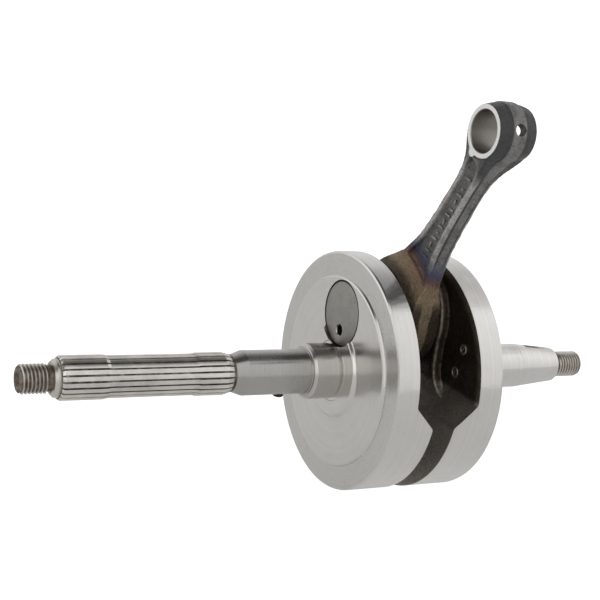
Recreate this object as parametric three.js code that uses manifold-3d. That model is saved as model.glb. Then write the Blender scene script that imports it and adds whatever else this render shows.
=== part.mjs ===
// Crankshaft of a small single-cylinder engine, pressed together from two
// forged halves and a crankpin, with its connecting rod and needle bearing.
//
// Millimetres, +Z up. The origin is on the crank axis, midway between the two
// webs. +X runs towards the tapered shaft, -X towards the splined shaft, and the
// crankpin stands straight up, at top dead centre.

import * as THREE from 'three';
import { mergeVertices } from 'three/addons/utils/BufferGeometryUtils.js';
import Module from 'manifold-3d';

const wasm = await Module();
wasm.setup();

// ---------------------------------------------------------------- dimensions
// "At" values are distances from the mid-plane between the webs, outwards.

// Clearances
const pressGap = 0.3; // drawn round a piece that is pressed into another
const runningGap = 0.3; // beside the rod's big end and round the cage
const rollerGap = 0.1; // from a needle roller to the surface it rolls on

// Webs
const webDiameter = 87;
const rimFaceAt = 21.7; // outer face at the rim
const leftRimThickness = 8.3; // web thickness beside the crankpin
const rightRimThickness = 9.7;
const rimChamfer = 0.9;
const faceRise = 1.0; // how far the dished face rises from the rim inwards
const innerDiscDiameter = 68.4;
const bossDiameter = 32.4; // flat ring that a main bearing bears on
const bossRise = 1.0;
const bossBevel = 1.2;
const leftBeamGap = 1.95; // from the rod's beam to each counterweight
const rightBeamGap = 0.45;
const counterweightTop = 2.8; // slope's outer end, above the crank axis
const counterweightSlopeDrop = 9.2; // height of the slope on its top end
const padRise = 0.4; // raised pad's radius above the big end's
const padSideInset = 0.5; // pad's straight sides inside its radius
const padFlare = 8.5; // how far the pad spreads at its foot, each side

// Crankpin
const crankThrow = 21.75;
const crankpinDiameter = 24;
const crankpinInset = 1.1; // crankpin end below the boss face
const crankpinChamfer = 0.6;
const crankpinHoleDiameter = 4;
const crankpinHoleOffset = 6.3; // towards the crank axis

// Splined shaft
const bearingSeatDiameter = 20;
const leftSeatEndAt = 35;
const seatChamfer = 1.0;
const journalDiameter = 16;
const journalEndAt = 60.1;
const journalTaperLength = 3.8;
const splineNeckDepth = 1; // neck beside the journal, below the tooth tips
const splineTeeth = 22;
const splineDiameter = 15;
const splineToothHeight = 0.7;
const splineToothShare = 0.6; // part of each pitch that is tooth, at the tip
const splineLeadIn = 3.7;
const splineEndAt = 125.2;
const splineEndChamfer = 1.6;
const splineReliefDepth = 0.35; // teeth are relieved in the middle of their length
const splineReliefStartAt = 78.3;
const splineReliefEndAt = 109.5;
const collarRise = 0.8; // collar's radius above the thread's
const collarEndAt = 128;
const leftThreadDiameter = 10;
const leftEndAt = 138.9;

// Tapered shaft
const rightSeatEndAt = 38.5;
const sealLandDiameter = 17;
const taperStartAt = 58.4;
const taperEndAt = 77;
const taperSlope = 0.1; // radius lost per length: a 1:5 taper
const taperEndChamfer = 1.2;
const rightThreadDiameter = 10;
const rightEndAt = 90.5;

// Both shaft ends
const threadChamfer = 0.8;
const threadNeckDepth = 0.7;
const threadNeckLength = 1.4;
const centreDrillDiameter = 5.4;
const centreDrillDepth = 2.4;

// Keyway for a Woodruff key, on the crankpin's side of the taper
const keywayWidth = 3;
const keywayCutterDiameter = 13;
const keywayDepth = 3.4;
const keywayAt = 69;

// Drive dowel in the journal, opposite the crankpin
const dowelDiameter = 4;
const dowelAt = 43.7;
const dowelProud = 1.4;
const dowelLength = 4.2;

// Connecting rod, between its two bores
const rodLength = 87;
const rodLean = THREE.MathUtils.degToRad(29.8); // at rest, towards -Y
const bigEndWall = 3.6;
const bigEndWidth = 14.5;
const bigEndRibRise = 1.1; // raised rib round the middle of the big end
const bigEndRibWidth = 4;
const smallEndBoreDiameter = 14;
const smallEndWall = 1.7; // wall at the end faces
const smallEndBarrelRise = 1.4; // how much thicker it is in the middle
const smallEndWidth = 14.5;
const beamThickness = 6.5;
const beamWebThickness = 3.2;
const beamRail = 1.5; // rail left on each side of the recess
const beamBaseHalfWidth = 6.6;
const beamBaseBeyond = 17.4; // beam's straight flanks start this far past the big end
const beamNeckHalfWidth = 5.1;
const beamNeckBefore = 23; // and end this far short of the small-end bore's axis
const saddleLength = 5.9; // shoulder from the big end down to the beam
const oilHoleDiameter = 4;
const oilHoleAngle = THREE.MathUtils.degToRad(45);

// Needle bearing in the big end
const needleDiameter = 3;
const rollerCount = 16;
const cageInset = 0.5; // cage's end below the big end's face
const cageRingWidth = 1.45; // solid ring at each end of the cage
const pocketGap = 0.3;

// ------------------------------------------------------------ worked-out sizes

const webRadius = webDiameter / 2;
const innerDiscAt = rimFaceAt + faceRise;
const bossFaceAt = innerDiscAt + bossRise;
const leftWeb = {
  rimInnerAt: rimFaceAt - leftRimThickness,
  counterweightAt: beamThickness / 2 + leftBeamGap,
};
const rightWeb = {
  rimInnerAt: rimFaceAt - rightRimThickness,
  counterweightAt: beamThickness / 2 + rightBeamGap,
};
const padAt = bigEndWidth / 2 + runningGap;
const crankpinRadius = crankpinDiameter / 2;
const crankpinEndAt = bossFaceAt - crankpinInset;
const seatRadius = bearingSeatDiameter / 2;
const journalRadius = journalDiameter / 2;
const splineRadius = splineDiameter / 2;
const splineRootRadius = splineRadius - splineToothHeight;
const splineNeckRadius = splineRadius - splineNeckDepth;
const splineStartAt = journalEndAt + journalTaperLength;
const splineRootLeadIn = splineLeadIn * (1 - splineToothHeight / splineNeckDepth);
const rollerRadius = needleDiameter / 2 - rollerGap;
const rollerPitchRadius = crankpinRadius + needleDiameter / 2;
const bigEndBoreRadius = crankpinRadius + needleDiameter;
const bigEndRadius = bigEndBoreRadius + bigEndWall;
const saddleRadius = bigEndRadius + saddleLength;
const beamBaseAlong = bigEndRadius + beamBaseBeyond;
const beamNeckAlong = rodLength - beamNeckBefore;
const smallEndBoreRadius = smallEndBoreDiameter / 2;
const smallEndFaceRadius = smallEndBoreRadius + smallEndWall;
const smallEndBarrelRadius = smallEndFaceRadius + smallEndBarrelRise;
const cageHalfWidth = bigEndWidth / 2 - cageInset;
const rollerHalfLength = cageHalfWidth - cageRingWidth - pocketGap;
const padRadius = bigEndRadius + padRise;
const padHalfWidth = padRadius - padSideInset;
const padFlareHalfWidth = padHalfWidth + padFlare;
const overlap = 1; // how far joined shapes run into each other before they are joined

const roundSegments = 60;
const shaftSegments = 36;
const smallSegments = 16;

// --------------------------------------------------------------------- finishes

function finish(color, roughness, metalness) {
  return new THREE.MeshStandardMaterial({ color, roughness, metalness });
}

const turnedSteel = finish(0xb9b6b1, 0.35, 0.9);
const forgedSteel = finish(0x55524f, 0.6, 0.7);
const pinSteel = finish(0x8f8c88, 0.45, 0.9);
const blackSteel = finish(0x2c2a28, 0.5, 0.8);
const cageSteel = finish(0xa9a49a, 0.4, 0.8);
const rollerSteel = finish(0xd0d0d0, 0.2, 1);

// ---------------------------------------------------------------- shape helpers

// Makes a closed three.js geometry a solid that can be joined and cut.
function toSolid(geometry) {
  const bare = new THREE.BufferGeometry();
  bare.setAttribute('position', geometry.getAttribute('position'));
  bare.setIndex(geometry.index);
  const merged = mergeVertices(bare, 1e-4);
  const corners = merged.index.array;
  const triVerts = [];
  for (let i = 0; i < corners.length; i += 3) {
    const [a, b, c] = [corners[i], corners[i + 1], corners[i + 2]];
    if (a !== b && b !== c && c !== a) {
      triVerts.push(a, b, c);
    }
  }
  const vertProperties = new Float32Array(merged.getAttribute('position').array);
  const build = (order) => new wasm.Manifold(
    new wasm.Mesh({ numProp: 3, vertProperties, triVerts: new Uint32Array(order) }),
  );
  const solid = build(triVerts);
  return solid.volume() > 0 ? solid : build(triVerts.reverse());
}

function toGeometry(solid) {
  const { vertProperties, triVerts } = solid.getMesh();
  const geometry = new THREE.BufferGeometry();
  geometry.setAttribute('position', new THREE.Float32BufferAttribute(vertProperties, 3));
  geometry.setIndex(new THREE.Uint32BufferAttribute(triVerts, 1));
  return geometry;
}

function joined(...solids) {
  return solids.reduce((sum, solid) => sum.add(solid));
}

// A shape turned about the X axis, from [x, radius] points.
function turned(points, segments = shaftSegments) {
  const profile = points.map(([x, radius]) => new THREE.Vector2(radius, x));
  const geometry = new THREE.LatheGeometry(profile, segments);
  geometry.rotateZ(-Math.PI / 2);
  return toSolid(geometry);
}

// A turned tube or ring: its profile closes on itself, clear of the axis.
function turnedRing(points, segments = roundSegments) {
  return turned([...points, points[0]], segments);
}

// An outline drawn in Y and Z, extruded along X.
function alongX(shape, fromX, toX, curveSegments = 12) {
  const settings = { depth: toX - fromX, bevelEnabled: false, curveSegments };
  const geometry = new THREE.ExtrudeGeometry(shape, settings);
  const axes = new THREE.Matrix4().makeBasis(
    new THREE.Vector3(0, 1, 0),
    new THREE.Vector3(0, 0, 1),
    new THREE.Vector3(1, 0, 0),
  );
  geometry.applyMatrix4(axes);
  geometry.translate(fromX, 0, 0);
  return toSolid(geometry);
}

// An outline drawn in X and Z, extruded both ways along Y.
function alongY(points, halfDepth) {
  const shape = new THREE.Shape(points.map(([x, z]) => new THREE.Vector2(x, z)));
  const geometry = new THREE.ExtrudeGeometry(shape, { depth: 2 * halfDepth, bevelEnabled: false });
  geometry.rotateX(Math.PI / 2);
  geometry.translate(0, halfDepth, 0);
  return toSolid(geometry);
}

// A rod along X with its axis at the given Y and Z.
function rodAlongX(radius, fromX, toX, y, z, segments = smallSegments) {
  const geometry = new THREE.CylinderGeometry(radius, radius, toX - fromX, segments);
  geometry.rotateZ(-Math.PI / 2);
  geometry.translate((fromX + toX) / 2, y, z);
  return toSolid(geometry);
}

// A drill that points away from the X axis, turned by angle from +Z towards -Y.
function radialDrill(radius, fromRadius, toRadius, x, angle) {
  const geometry = new THREE.CylinderGeometry(radius, radius, toRadius - fromRadius, smallSegments);
  geometry.translate(0, (fromRadius + toRadius) / 2, 0);
  geometry.rotateX(Math.PI / 2 + angle);
  geometry.translate(x, 0, 0);
  return toSolid(geometry);
}

// ---------------------------------------------------------------- crank webs

// Each web is drawn on the +X side, and the left one is mirrored afterwards.

function webDisc({ rimInnerAt }) {
  return turned([
    [rimInnerAt, 0],
    [rimInnerAt, webRadius],
    [rimFaceAt - rimChamfer, webRadius],
    [rimFaceAt, webRadius - rimChamfer],
    [innerDiscAt - 0.3, innerDiscDiameter / 2 + 0.5],
    [innerDiscAt, innerDiscDiameter / 2],
    [innerDiscAt, bossDiameter / 2 + bossBevel],
    [bossFaceAt, bossDiameter / 2],
    [bossFaceAt, 0],
  ], roundSegments);
}

function counterweight({ rimInnerAt, counterweightAt }) {
  const outer = rimInnerAt + overlap;
  const below = -webRadius - overlap;
  const slopeFoot = counterweightTop - counterweightSlopeDrop;
  const drum = turned([
    [counterweightAt, 0],
    [counterweightAt, webRadius],
    [outer, webRadius],
    [outer, 0],
  ], roundSegments);
  const lowerPart = alongY([
    [counterweightAt - overlap, below],
    [outer + overlap, below],
    [outer + overlap, counterweightTop],
    [rimInnerAt, counterweightTop],
    [counterweightAt, slopeFoot],
    [counterweightAt - overlap, slopeFoot],
  ], webRadius + overlap);
  return drum.intersect(lowerPart);
}

// Pad that the rod's big end runs beside: round the crankpin, then flaring down.
function crankpinPad({ rimInnerAt }) {
  const sideTop = crankThrow - Math.sqrt(padRadius ** 2 - padHalfWidth ** 2);
  const sideAngle = Math.atan2(sideTop - crankThrow, padHalfWidth);
  const flareFoot = counterweightTop - counterweightSlopeDrop / 2;
  const outline = new THREE.Shape();
  outline.moveTo(-padFlareHalfWidth, flareFoot);
  outline.lineTo(padFlareHalfWidth, flareFoot);
  outline.quadraticCurveTo(padHalfWidth, flareFoot, padHalfWidth, crankThrow / 2);
  outline.lineTo(padHalfWidth, sideTop);
  outline.absarc(0, crankThrow, padRadius, sideAngle, Math.PI - sideAngle, false);
  outline.lineTo(-padHalfWidth, crankThrow / 2);
  outline.quadraticCurveTo(-padHalfWidth, flareFoot, -padFlareHalfWidth, flareFoot);
  return alongX(outline, padAt, rimInnerAt + overlap);
}

// The crankpin's bore also nicks the bearing seat, which stands very close to it.
function crankpinBore() {
  const borePast = 0.5; // the bore runs this far past the boss face
  const radius = crankpinRadius + pressGap;
  return rodAlongX(radius, 0, bossFaceAt + borePast, 0, crankThrow, shaftSegments);
}

function crankHalf(side, shaft) {
  const blank = joined(webDisc(side), counterweight(side), crankpinPad(side), shaft);
  return toGeometry(blank.subtract(crankpinBore()));
}

// -------------------------------------------------------------------- shafts

// The last points of a shaft's profile: neck, thread and centre-drilled end.
function threadedEnd(shoulderAt, threadDiameter, endAt) {
  const radius = threadDiameter / 2;
  const neckRadius = radius - threadNeckDepth;
  return [
    [shoulderAt, neckRadius],
    [shoulderAt + threadNeckLength, neckRadius],
    [shoulderAt + threadNeckLength + threadNeckDepth, radius],
    [endAt - threadChamfer, radius],
    [endAt, radius - threadChamfer],
    [endAt, centreDrillDiameter / 2],
    [endAt - centreDrillDepth, 0],
  ];
}

function splineTeethSolid() {
  const pitch = (2 * Math.PI) / splineTeeth;
  const tipHalf = (pitch * splineToothShare) / 2;
  const rootHalf = tipHalf + pitch * 0.08;
  const outline = new THREE.Shape();
  for (let tooth = 0; tooth < splineTeeth; tooth += 1) {
    const centre = tooth * pitch;
    const corners = [
      [centre - rootHalf, splineRootRadius],
      [centre - tipHalf, splineRadius],
      [centre + tipHalf, splineRadius],
      [centre + rootHalf, splineRootRadius],
    ];
    for (const [angle, radius] of corners) {
      const [y, z] = [radius * Math.sin(angle), radius * Math.cos(angle)];
      if (tooth === 0 && angle === corners[0][0]) {
        outline.moveTo(y, z);
      } else {
        outline.lineTo(y, z);
      }
    }
  }
  const teeth = alongX(outline, splineStartAt - overlap, splineEndAt + splineEndChamfer);
  const reliefRadius = splineRadius - splineReliefDepth;
  const reliefRamp = 0.8;
  const envelope = turned([
    [splineStartAt - overlap, 0],
    [splineStartAt - overlap, splineNeckRadius],
    [splineStartAt, splineNeckRadius],
    [splineStartAt + splineLeadIn, splineRadius],
    [splineReliefStartAt - reliefRamp, splineRadius],
    [splineReliefStartAt, reliefRadius],
    [splineReliefEndAt, reliefRadius],
    [splineReliefEndAt + reliefRamp, splineRadius],
    [splineEndAt, splineRadius],
    [splineEndAt + splineEndChamfer, splineRootRadius - 0.4],
    [splineEndAt + splineEndChamfer, 0],
  ], 2 * splineTeeth);
  return teeth.intersect(envelope);
}

function splinedShaft() {
  const core = turned([
    [bossFaceAt - overlap, 0],
    [bossFaceAt - overlap, seatRadius],
    [leftSeatEndAt - seatChamfer, seatRadius],
    [leftSeatEndAt, seatRadius - seatChamfer],
    [leftSeatEndAt, journalRadius],
    [journalEndAt, journalRadius],
    [splineStartAt, splineNeckRadius],
    [splineStartAt + splineRootLeadIn, splineRootRadius],
    [splineEndAt, splineRootRadius],
    [collarEndAt, leftThreadDiameter / 2 + collarRise],
    ...threadedEnd(collarEndAt, leftThreadDiameter, leftEndAt),
  ]);
  const socketRadius = dowelDiameter / 2 + pressGap;
  const socketFoot = journalRadius + dowelProud - dowelLength - pressGap;
  const socket = radialDrill(socketRadius, socketFoot, journalRadius + overlap, dowelAt, Math.PI);
  return joined(core, splineTeethSolid()).subtract(socket);
}

function taperRadius(at) {
  return sealLandDiameter / 2 - (at - taperStartAt) * taperSlope;
}

function keywayCutter() {
  const cutterRadius = keywayCutterDiameter / 2;
  const geometry = new THREE.CylinderGeometry(cutterRadius, cutterRadius, keywayWidth, 32);
  geometry.translate(keywayAt, 0, taperRadius(keywayAt) - keywayDepth + cutterRadius);
  return toSolid(geometry);
}

function taperedShaft() {
  const smallEndRadius = taperRadius(taperEndAt);
  const shoulderAt = taperEndAt + taperEndChamfer;
  const blank = turned([
    [bossFaceAt - overlap, 0],
    [bossFaceAt - overlap, seatRadius],
    [rightSeatEndAt - seatChamfer, seatRadius],
    [rightSeatEndAt, seatRadius - seatChamfer],
    [rightSeatEndAt, sealLandDiameter / 2],
    [taperStartAt, sealLandDiameter / 2],
    [taperEndAt, smallEndRadius],
    [shoulderAt, smallEndRadius - taperEndChamfer],
    ...threadedEnd(shoulderAt, rightThreadDiameter, rightEndAt),
  ]);
  return blank.subtract(keywayCutter());
}

// ------------------------------------------------------- crankpin and dowel

function crankpinSolid() {
  const blank = turned([
    [-crankpinEndAt, 0],
    [-crankpinEndAt, crankpinRadius - crankpinChamfer],
    [-crankpinEndAt + crankpinChamfer, crankpinRadius],
    [crankpinEndAt - crankpinChamfer, crankpinRadius],
    [crankpinEndAt, crankpinRadius - crankpinChamfer],
    [crankpinEndAt, 0],
  ]);
  const holeRadius = crankpinHoleDiameter / 2;
  const reach = crankpinEndAt + overlap;
  return blank.subtract(rodAlongX(holeRadius, -reach, reach, 0, -crankpinHoleOffset));
}

function dowelGeometry() {
  const radius = dowelDiameter / 2;
  const domeHeight = radius * 0.5;
  const profile = [
    new THREE.Vector2(0, -dowelLength),
    new THREE.Vector2(radius, -dowelLength),
    new THREE.Vector2(radius, -domeHeight),
    new THREE.Vector2(radius * 0.75, -domeHeight * 0.35),
    new THREE.Vector2(0, 0),
  ];
  return toGeometry(toSolid(new THREE.LatheGeometry(profile, smallSegments)));
}

// ------------------------------------------------------------ connecting rod

// The rod is drawn upright, with its big-end bore on the X axis.

function bigEndRing() {
  const half = bigEndWidth / 2;
  const ribHalf = bigEndRibWidth / 2;
  const shoulder = bigEndRadius - 0.5;
  return turned([
    [-half, 0],
    [-half, shoulder],
    [-ribHalf, bigEndRadius],
    [-ribHalf, bigEndRadius + bigEndRibRise],
    [ribHalf, bigEndRadius + bigEndRibRise],
    [ribHalf, bigEndRadius],
    [half, shoulder],
    [half, 0],
  ], roundSegments);
}

function smallEndBarrel() {
  const half = smallEndWidth / 2;
  const bulgeRadius = smallEndFaceRadius + smallEndBarrelRise * 0.65;
  const barrel = turned([
    [-half, 0],
    [-half, smallEndFaceRadius],
    [-half * 0.55, bulgeRadius],
    [-half * 0.2, smallEndBarrelRadius],
    [half * 0.2, smallEndBarrelRadius],
    [half * 0.55, bulgeRadius],
    [half, smallEndFaceRadius],
    [half, 0],
  ]);
  const holes = [oilHoleAngle, -oilHoleAngle].map(
    (angle) => radialDrill(oilHoleDiameter / 2, 0, smallEndBarrelRadius + overlap, 0, angle),
  );
  const drilled = holes.reduce((body, hole) => body.subtract(hole), barrel);
  return toSolid(toGeometry(drilled).translate(0, 0, rodLength));
}

// Outline of the beam, seen along X, set in from its flanks by inset.
function beamOutline(inset, footAlong, headAlong) {
  const flareStart = bigEndRadius * Math.SQRT1_2 - inset;
  const baseHalf = beamBaseHalfWidth - inset;
  const neckHalf = beamNeckHalfWidth - inset;
  const headHalf = smallEndFaceRadius - inset;
  const flareControl = (footAlong + beamBaseAlong) / 2;
  const headControl = (beamNeckAlong + headAlong) / 2;
  const outline = new THREE.Shape();
  outline.moveTo(-flareStart, footAlong);
  outline.lineTo(flareStart, footAlong);
  outline.quadraticCurveTo(baseHalf + 1.2, flareControl, baseHalf, beamBaseAlong);
  outline.lineTo(neckHalf, beamNeckAlong);
  outline.quadraticCurveTo(neckHalf, headControl, headHalf, headAlong);
  outline.lineTo(-headHalf, headAlong);
  outline.quadraticCurveTo(-neckHalf, headControl, -neckHalf, beamNeckAlong);
  outline.lineTo(-baseHalf, beamBaseAlong);
  outline.quadraticCurveTo(-baseHalf - 1.2, flareControl, -flareStart, footAlong);
  return outline;
}

function beam() {
  const half = beamThickness / 2;
  const webHalf = beamWebThickness / 2;
  const footAlong = bigEndRadius * Math.SQRT1_2;
  const smallEndEdge = rodLength - smallEndFaceRadius;
  const outline = beamOutline(0, footAlong, rodLength - smallEndFaceRadius / 2);
  const recess = beamOutline(beamRail, saddleRadius, smallEndEdge - overlap);
  const saddle = turned([
    [-bigEndWidth / 2, 0],
    [-bigEndWidth / 2, bigEndRadius - 0.5],
    [-half, saddleRadius],
    [half, saddleRadius],
    [bigEndWidth / 2, bigEndRadius - 0.5],
    [bigEndWidth / 2, 0],
  ], roundSegments);
  const beyond = bigEndWidth;
  const shoulder = saddle.intersect(alongX(outline, -beyond, beyond));
  const cutLeft = alongX(recess, -beyond, -webHalf);
  const cutRight = alongX(recess, webHalf, beyond);
  const plate = alongX(outline, -half, half).subtract(cutLeft).subtract(cutRight);
  return joined(plate, shoulder);
}

function connectingRodSolid() {
  const reach = bigEndWidth;
  const bigBore = rodAlongX(bigEndBoreRadius, -reach, reach, 0, 0, roundSegments);
  const smallBore = rodAlongX(smallEndBoreRadius, -reach, reach, 0, rodLength, shaftSegments);
  return joined(bigEndRing(), beam(), smallEndBarrel()).subtract(bigBore).subtract(smallBore);
}

// ------------------------------------------------------------ needle bearing

function cageSolid() {
  const half = cageHalfWidth;
  const inner = crankpinRadius + runningGap;
  const outer = bigEndBoreRadius - runningGap;
  const pocketLength = 2 * (rollerHalfLength + pocketGap);
  const pocketWidth = 2 * (rollerRadius + pocketGap);
  let cage = turnedRing([[-half, inner], [-half, outer], [half, outer], [half, inner]]);
  for (let i = 0; i < rollerCount; i += 1) {
    const pocket = new THREE.BoxGeometry(pocketLength, pocketWidth, needleDiameter);
    pocket.translate(0, 0, rollerPitchRadius);
    pocket.rotateX((2 * Math.PI * i) / rollerCount);
    cage = cage.subtract(toSolid(pocket));
  }
  return cage;
}

function rollerGeometry() {
  const half = rollerHalfLength;
  const chamfer = 0.3;
  const roller = turned([
    [-half, 0],
    [-half, rollerRadius - chamfer],
    [-half + chamfer, rollerRadius],
    [half - chamfer, rollerRadius],
    [half, rollerRadius - chamfer],
    [half, 0],
  ], 12);
  return toGeometry(roller);
}

// ------------------------------------------------------------------ assembly

function piece(name, geometry, material) {
  const mesh = new THREE.Mesh(geometry, material);
  mesh.name = name;
  return mesh;
}

const crank = new THREE.Group();

const leftHalf = piece('left_crank_half', crankHalf(leftWeb, splinedShaft()), turnedSteel);
leftHalf.scale.x = -1;
crank.add(leftHalf);
crank.add(piece('right_crank_half', crankHalf(rightWeb, taperedShaft()), turnedSteel));

const dowel = piece('drive_dowel', dowelGeometry(), blackSteel);
dowel.position.set(-dowelAt, 0, -journalRadius - dowelProud);
dowel.rotation.x = -Math.PI / 2;
crank.add(dowel);

// Everything that turns about the crankpin hangs on this group.
const crankpinGroup = new THREE.Group();
crankpinGroup.position.z = crankThrow;
crank.add(crankpinGroup);

crankpinGroup.add(piece('crankpin', toGeometry(crankpinSolid()), pinSteel));
crankpinGroup.add(piece('big_end_cage', toGeometry(cageSolid()), cageSteel));

for (let i = 0; i < rollerCount; i += 1) {
  const angle = (2 * Math.PI * i) / rollerCount;
  const name = `needle_roller_${String(i + 1).padStart(2, '0')}`;
  const roller = piece(name, rollerGeometry(), rollerSteel);
  roller.position.y = -rollerPitchRadius * Math.sin(angle);
  roller.position.z = rollerPitchRadius * Math.cos(angle);
  roller.rotation.x = angle;
  crankpinGroup.add(roller);
}

const rod = piece('connecting_rod', toGeometry(connectingRodSolid()), forgedSteel);
rod.rotation.x = rodLean;
crankpinGroup.add(rod);

export default crank;
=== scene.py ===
# %% [markdown]
# # A pressed-up crankshaft with its connecting rod
# This lesson dresses a finished mechanical design. The design gives the frame: the crank axis is
# the X axis, the splined shaft points to -X and the crankpin stands straight up from the axis.
# Blender adds what the design leaves plain: the fillets of a forging, real threads, tool marks,
# scale and heat colours. Every fine piece takes the place of the plain one that it stands for.

# %% Load the frame
import math

import bpy
from mathutils import Matrix, Vector


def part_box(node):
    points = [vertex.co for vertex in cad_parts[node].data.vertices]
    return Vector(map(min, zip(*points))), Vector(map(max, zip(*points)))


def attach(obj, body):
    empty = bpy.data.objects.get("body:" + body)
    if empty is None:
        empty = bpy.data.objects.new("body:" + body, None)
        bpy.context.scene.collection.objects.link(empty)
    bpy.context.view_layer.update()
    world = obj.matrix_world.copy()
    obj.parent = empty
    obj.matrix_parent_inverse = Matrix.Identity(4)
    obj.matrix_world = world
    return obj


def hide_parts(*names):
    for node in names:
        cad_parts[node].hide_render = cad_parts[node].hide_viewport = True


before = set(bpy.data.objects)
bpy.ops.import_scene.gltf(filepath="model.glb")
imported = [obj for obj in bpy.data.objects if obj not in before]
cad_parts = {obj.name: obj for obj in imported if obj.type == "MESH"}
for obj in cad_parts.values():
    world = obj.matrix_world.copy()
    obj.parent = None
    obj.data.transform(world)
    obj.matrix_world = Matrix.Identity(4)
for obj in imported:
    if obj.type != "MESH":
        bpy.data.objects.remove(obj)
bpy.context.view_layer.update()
MM = 0.001
print("pieces in the frame:", len(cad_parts))

# %% [markdown]
# ## Sizes
# The driving sizes are read off the boxes of the design's pieces, so that a fine piece always
# fits where the plain one was. Distances along the crank are counted outwards from the middle of
# the slot between the two webs, and all of them are in millimetres.

# %% Driving sizes, in millimetres
def box_mm(node):
    low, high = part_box(node)
    return [value / MM for value in low], [value / MM for value in high]


left_low, left_high = box_mm("left_crank_half")
right_low, right_high = box_mm("right_crank_half")
pin_low, pin_high = box_mm("crankpin")
_, rod_high = box_mm("connecting_rod")
cage_low, cage_high = box_mm("big_end_cage")
WEB_RADIUS = left_high[2]
LEFT_END = -left_low[0]
RIGHT_END = right_high[0]
LEFT_SLOT = -left_high[0]
RIGHT_SLOT = right_low[0]
THROW = (pin_low[2] + pin_high[2]) / 2
PIN_RADIUS = (pin_high[2] - pin_low[2]) / 2
PIN_END = pin_high[0]
ROD_HALF = rod_high[0]
ROD_LENGTH = 87.0
ROD_LEAN = math.radians(29.8)
print(f"web radius {WEB_RADIUS:.2f}, throw {THROW:.2f}, pin radius {PIN_RADIUS:.2f}")
print(f"slot {LEFT_SLOT:.2f} + {RIGHT_SLOT:.2f}, ends at {LEFT_END:.1f} and {RIGHT_END:.1f}")

# %% [markdown]
# ## Where the camera stands
# The crank lies level, with its crankpin rolled forward towards the camera. The camera is first
# placed as if the crankpin stood straight up, by an azimuth, an elevation and a distance, and is
# then rolled back about the crank axis by the angle that the crank was rolled forward.

# %% Camera
CRANK_ROLL = math.radians(17.732)
VIEW_AZIMUTH = math.radians(-28.175)
VIEW_ELEVATION = math.radians(-0.206)
VIEW_DISTANCE = 447.6 * MM
AIM = Vector((-36.06, 0, 25.56)) * MM
FOCAL_LENGTH = 74.74

bpy.ops.object.camera_add()
camera = bpy.context.active_object
level = math.cos(VIEW_ELEVATION)
backwards = Vector((
    math.sin(VIEW_AZIMUTH) * level,
    -math.cos(VIEW_AZIMUTH) * level,
    math.sin(VIEW_ELEVATION),
))
turned_to = backwards.to_track_quat("Z", "Y").to_matrix().to_4x4()
stand = Matrix.Translation(AIM + backwards * VIEW_DISTANCE) @ turned_to
camera.matrix_world = Matrix.Rotation(-CRANK_ROLL, 4, "X") @ stand
camera.data.lens = FOCAL_LENGTH
camera.data.clip_start = 0.01
camera.data.dof.use_dof = False
bpy.context.scene.camera = camera
print("camera at", [round(value, 4) for value in camera.matrix_world.translation])

# %% [markdown]
# ## A small helper for node trees
# Every finish below is a tree of nodes. One helper adds a node, sets its options and fills its
# sockets: a socket as a value means a link, and anything else is typed into the field.

# %% Node helper
def add_node(tree, kind, options=None, sockets=None):
    node = tree.nodes.new(kind)
    for option, value in (options or {}).items():
        setattr(node, option, value)
    for name, value in (sockets or {}).items():
        socket = node.inputs[name]
        if isinstance(value, bpy.types.NodeSocket):
            tree.links.new(value, socket)
        else:
            socket.default_value = value
    return node


def math_node(tree, operation, first, second=0.0):
    sockets = {0: first, 1: second}
    return add_node(tree, "ShaderNodeMath", {"operation": operation}, sockets).outputs[0]


def ramp_node(tree, factor, stops, interpolation="LINEAR"):
    node = add_node(tree, "ShaderNodeValToRGB", sockets={"Fac": factor})
    node.color_ramp.interpolation = interpolation
    points = node.color_ramp.elements
    for point, (place, colour) in zip(points, (stops[0], stops[-1])):
        point.position = place
        point.color = (*colour, 1.0)
    for place, colour in stops[1:-1]:
        points.new(place).color = (*colour, 1.0)
    return node.outputs["Color"]


def remap(tree, value, from_low, from_high, to_low=0.0, to_high=1.0):
    sockets = {
        "Value": value,
        "From Min": from_low,
        "From Max": from_high,
        "To Min": to_low,
        "To Max": to_high,
    }
    options = {"interpolation_type": "SMOOTHSTEP"}
    return add_node(tree, "ShaderNodeMapRange", options, sockets).outputs["Result"]


print("node helpers ready: add_node, math_node, ramp_node, remap")

# %% [markdown]
# ## Light
# Polished steel shows nothing but the room around it, so the room is the light. It is a white
# tent: bright at the sides and in front, with a dark gap overhead where the tent is open. The
# gap gives the rims and journals the dark band that makes them read as metal. A sky of two
# ramps does this with no visible lamps: one ramp goes round the crank axis, from the front over
# the top to the back, and the other fades the gap out towards the tapered shaft.

# %% Tent light
world = bpy.data.worlds.new("light_tent")
bpy.context.scene.world = world
world.use_nodes = True
sky = world.node_tree
direction = add_node(sky, "ShaderNodeTexCoord").outputs["Generated"]
UP = (0.0, math.sin(CRANK_ROLL), math.cos(CRANK_ROLL))
FRONT = (0.0, -math.cos(CRANK_ROLL), math.sin(CRANK_ROLL))
dot = {"operation": "DOT_PRODUCT"}
upwards = add_node(sky, "ShaderNodeVectorMath", dot, {0: direction, 1: UP}).outputs["Value"]
forwards = add_node(sky, "ShaderNodeVectorMath", dot, {0: direction, 1: FRONT}).outputs["Value"]
sideways = add_node(sky, "ShaderNodeSeparateXYZ", sockets={0: direction}).outputs["X"]
around = math_node(sky, "ARCTAN2", upwards, forwards)
turns = math_node(sky, "MULTIPLY_ADD", around, 0.5 / math.pi)
sky.nodes[-1].inputs[2].default_value = 0.5


def tent_stops(levels):
    return [(0.5 + degrees / 360, (level, level, level)) for degrees, level in levels]


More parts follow.
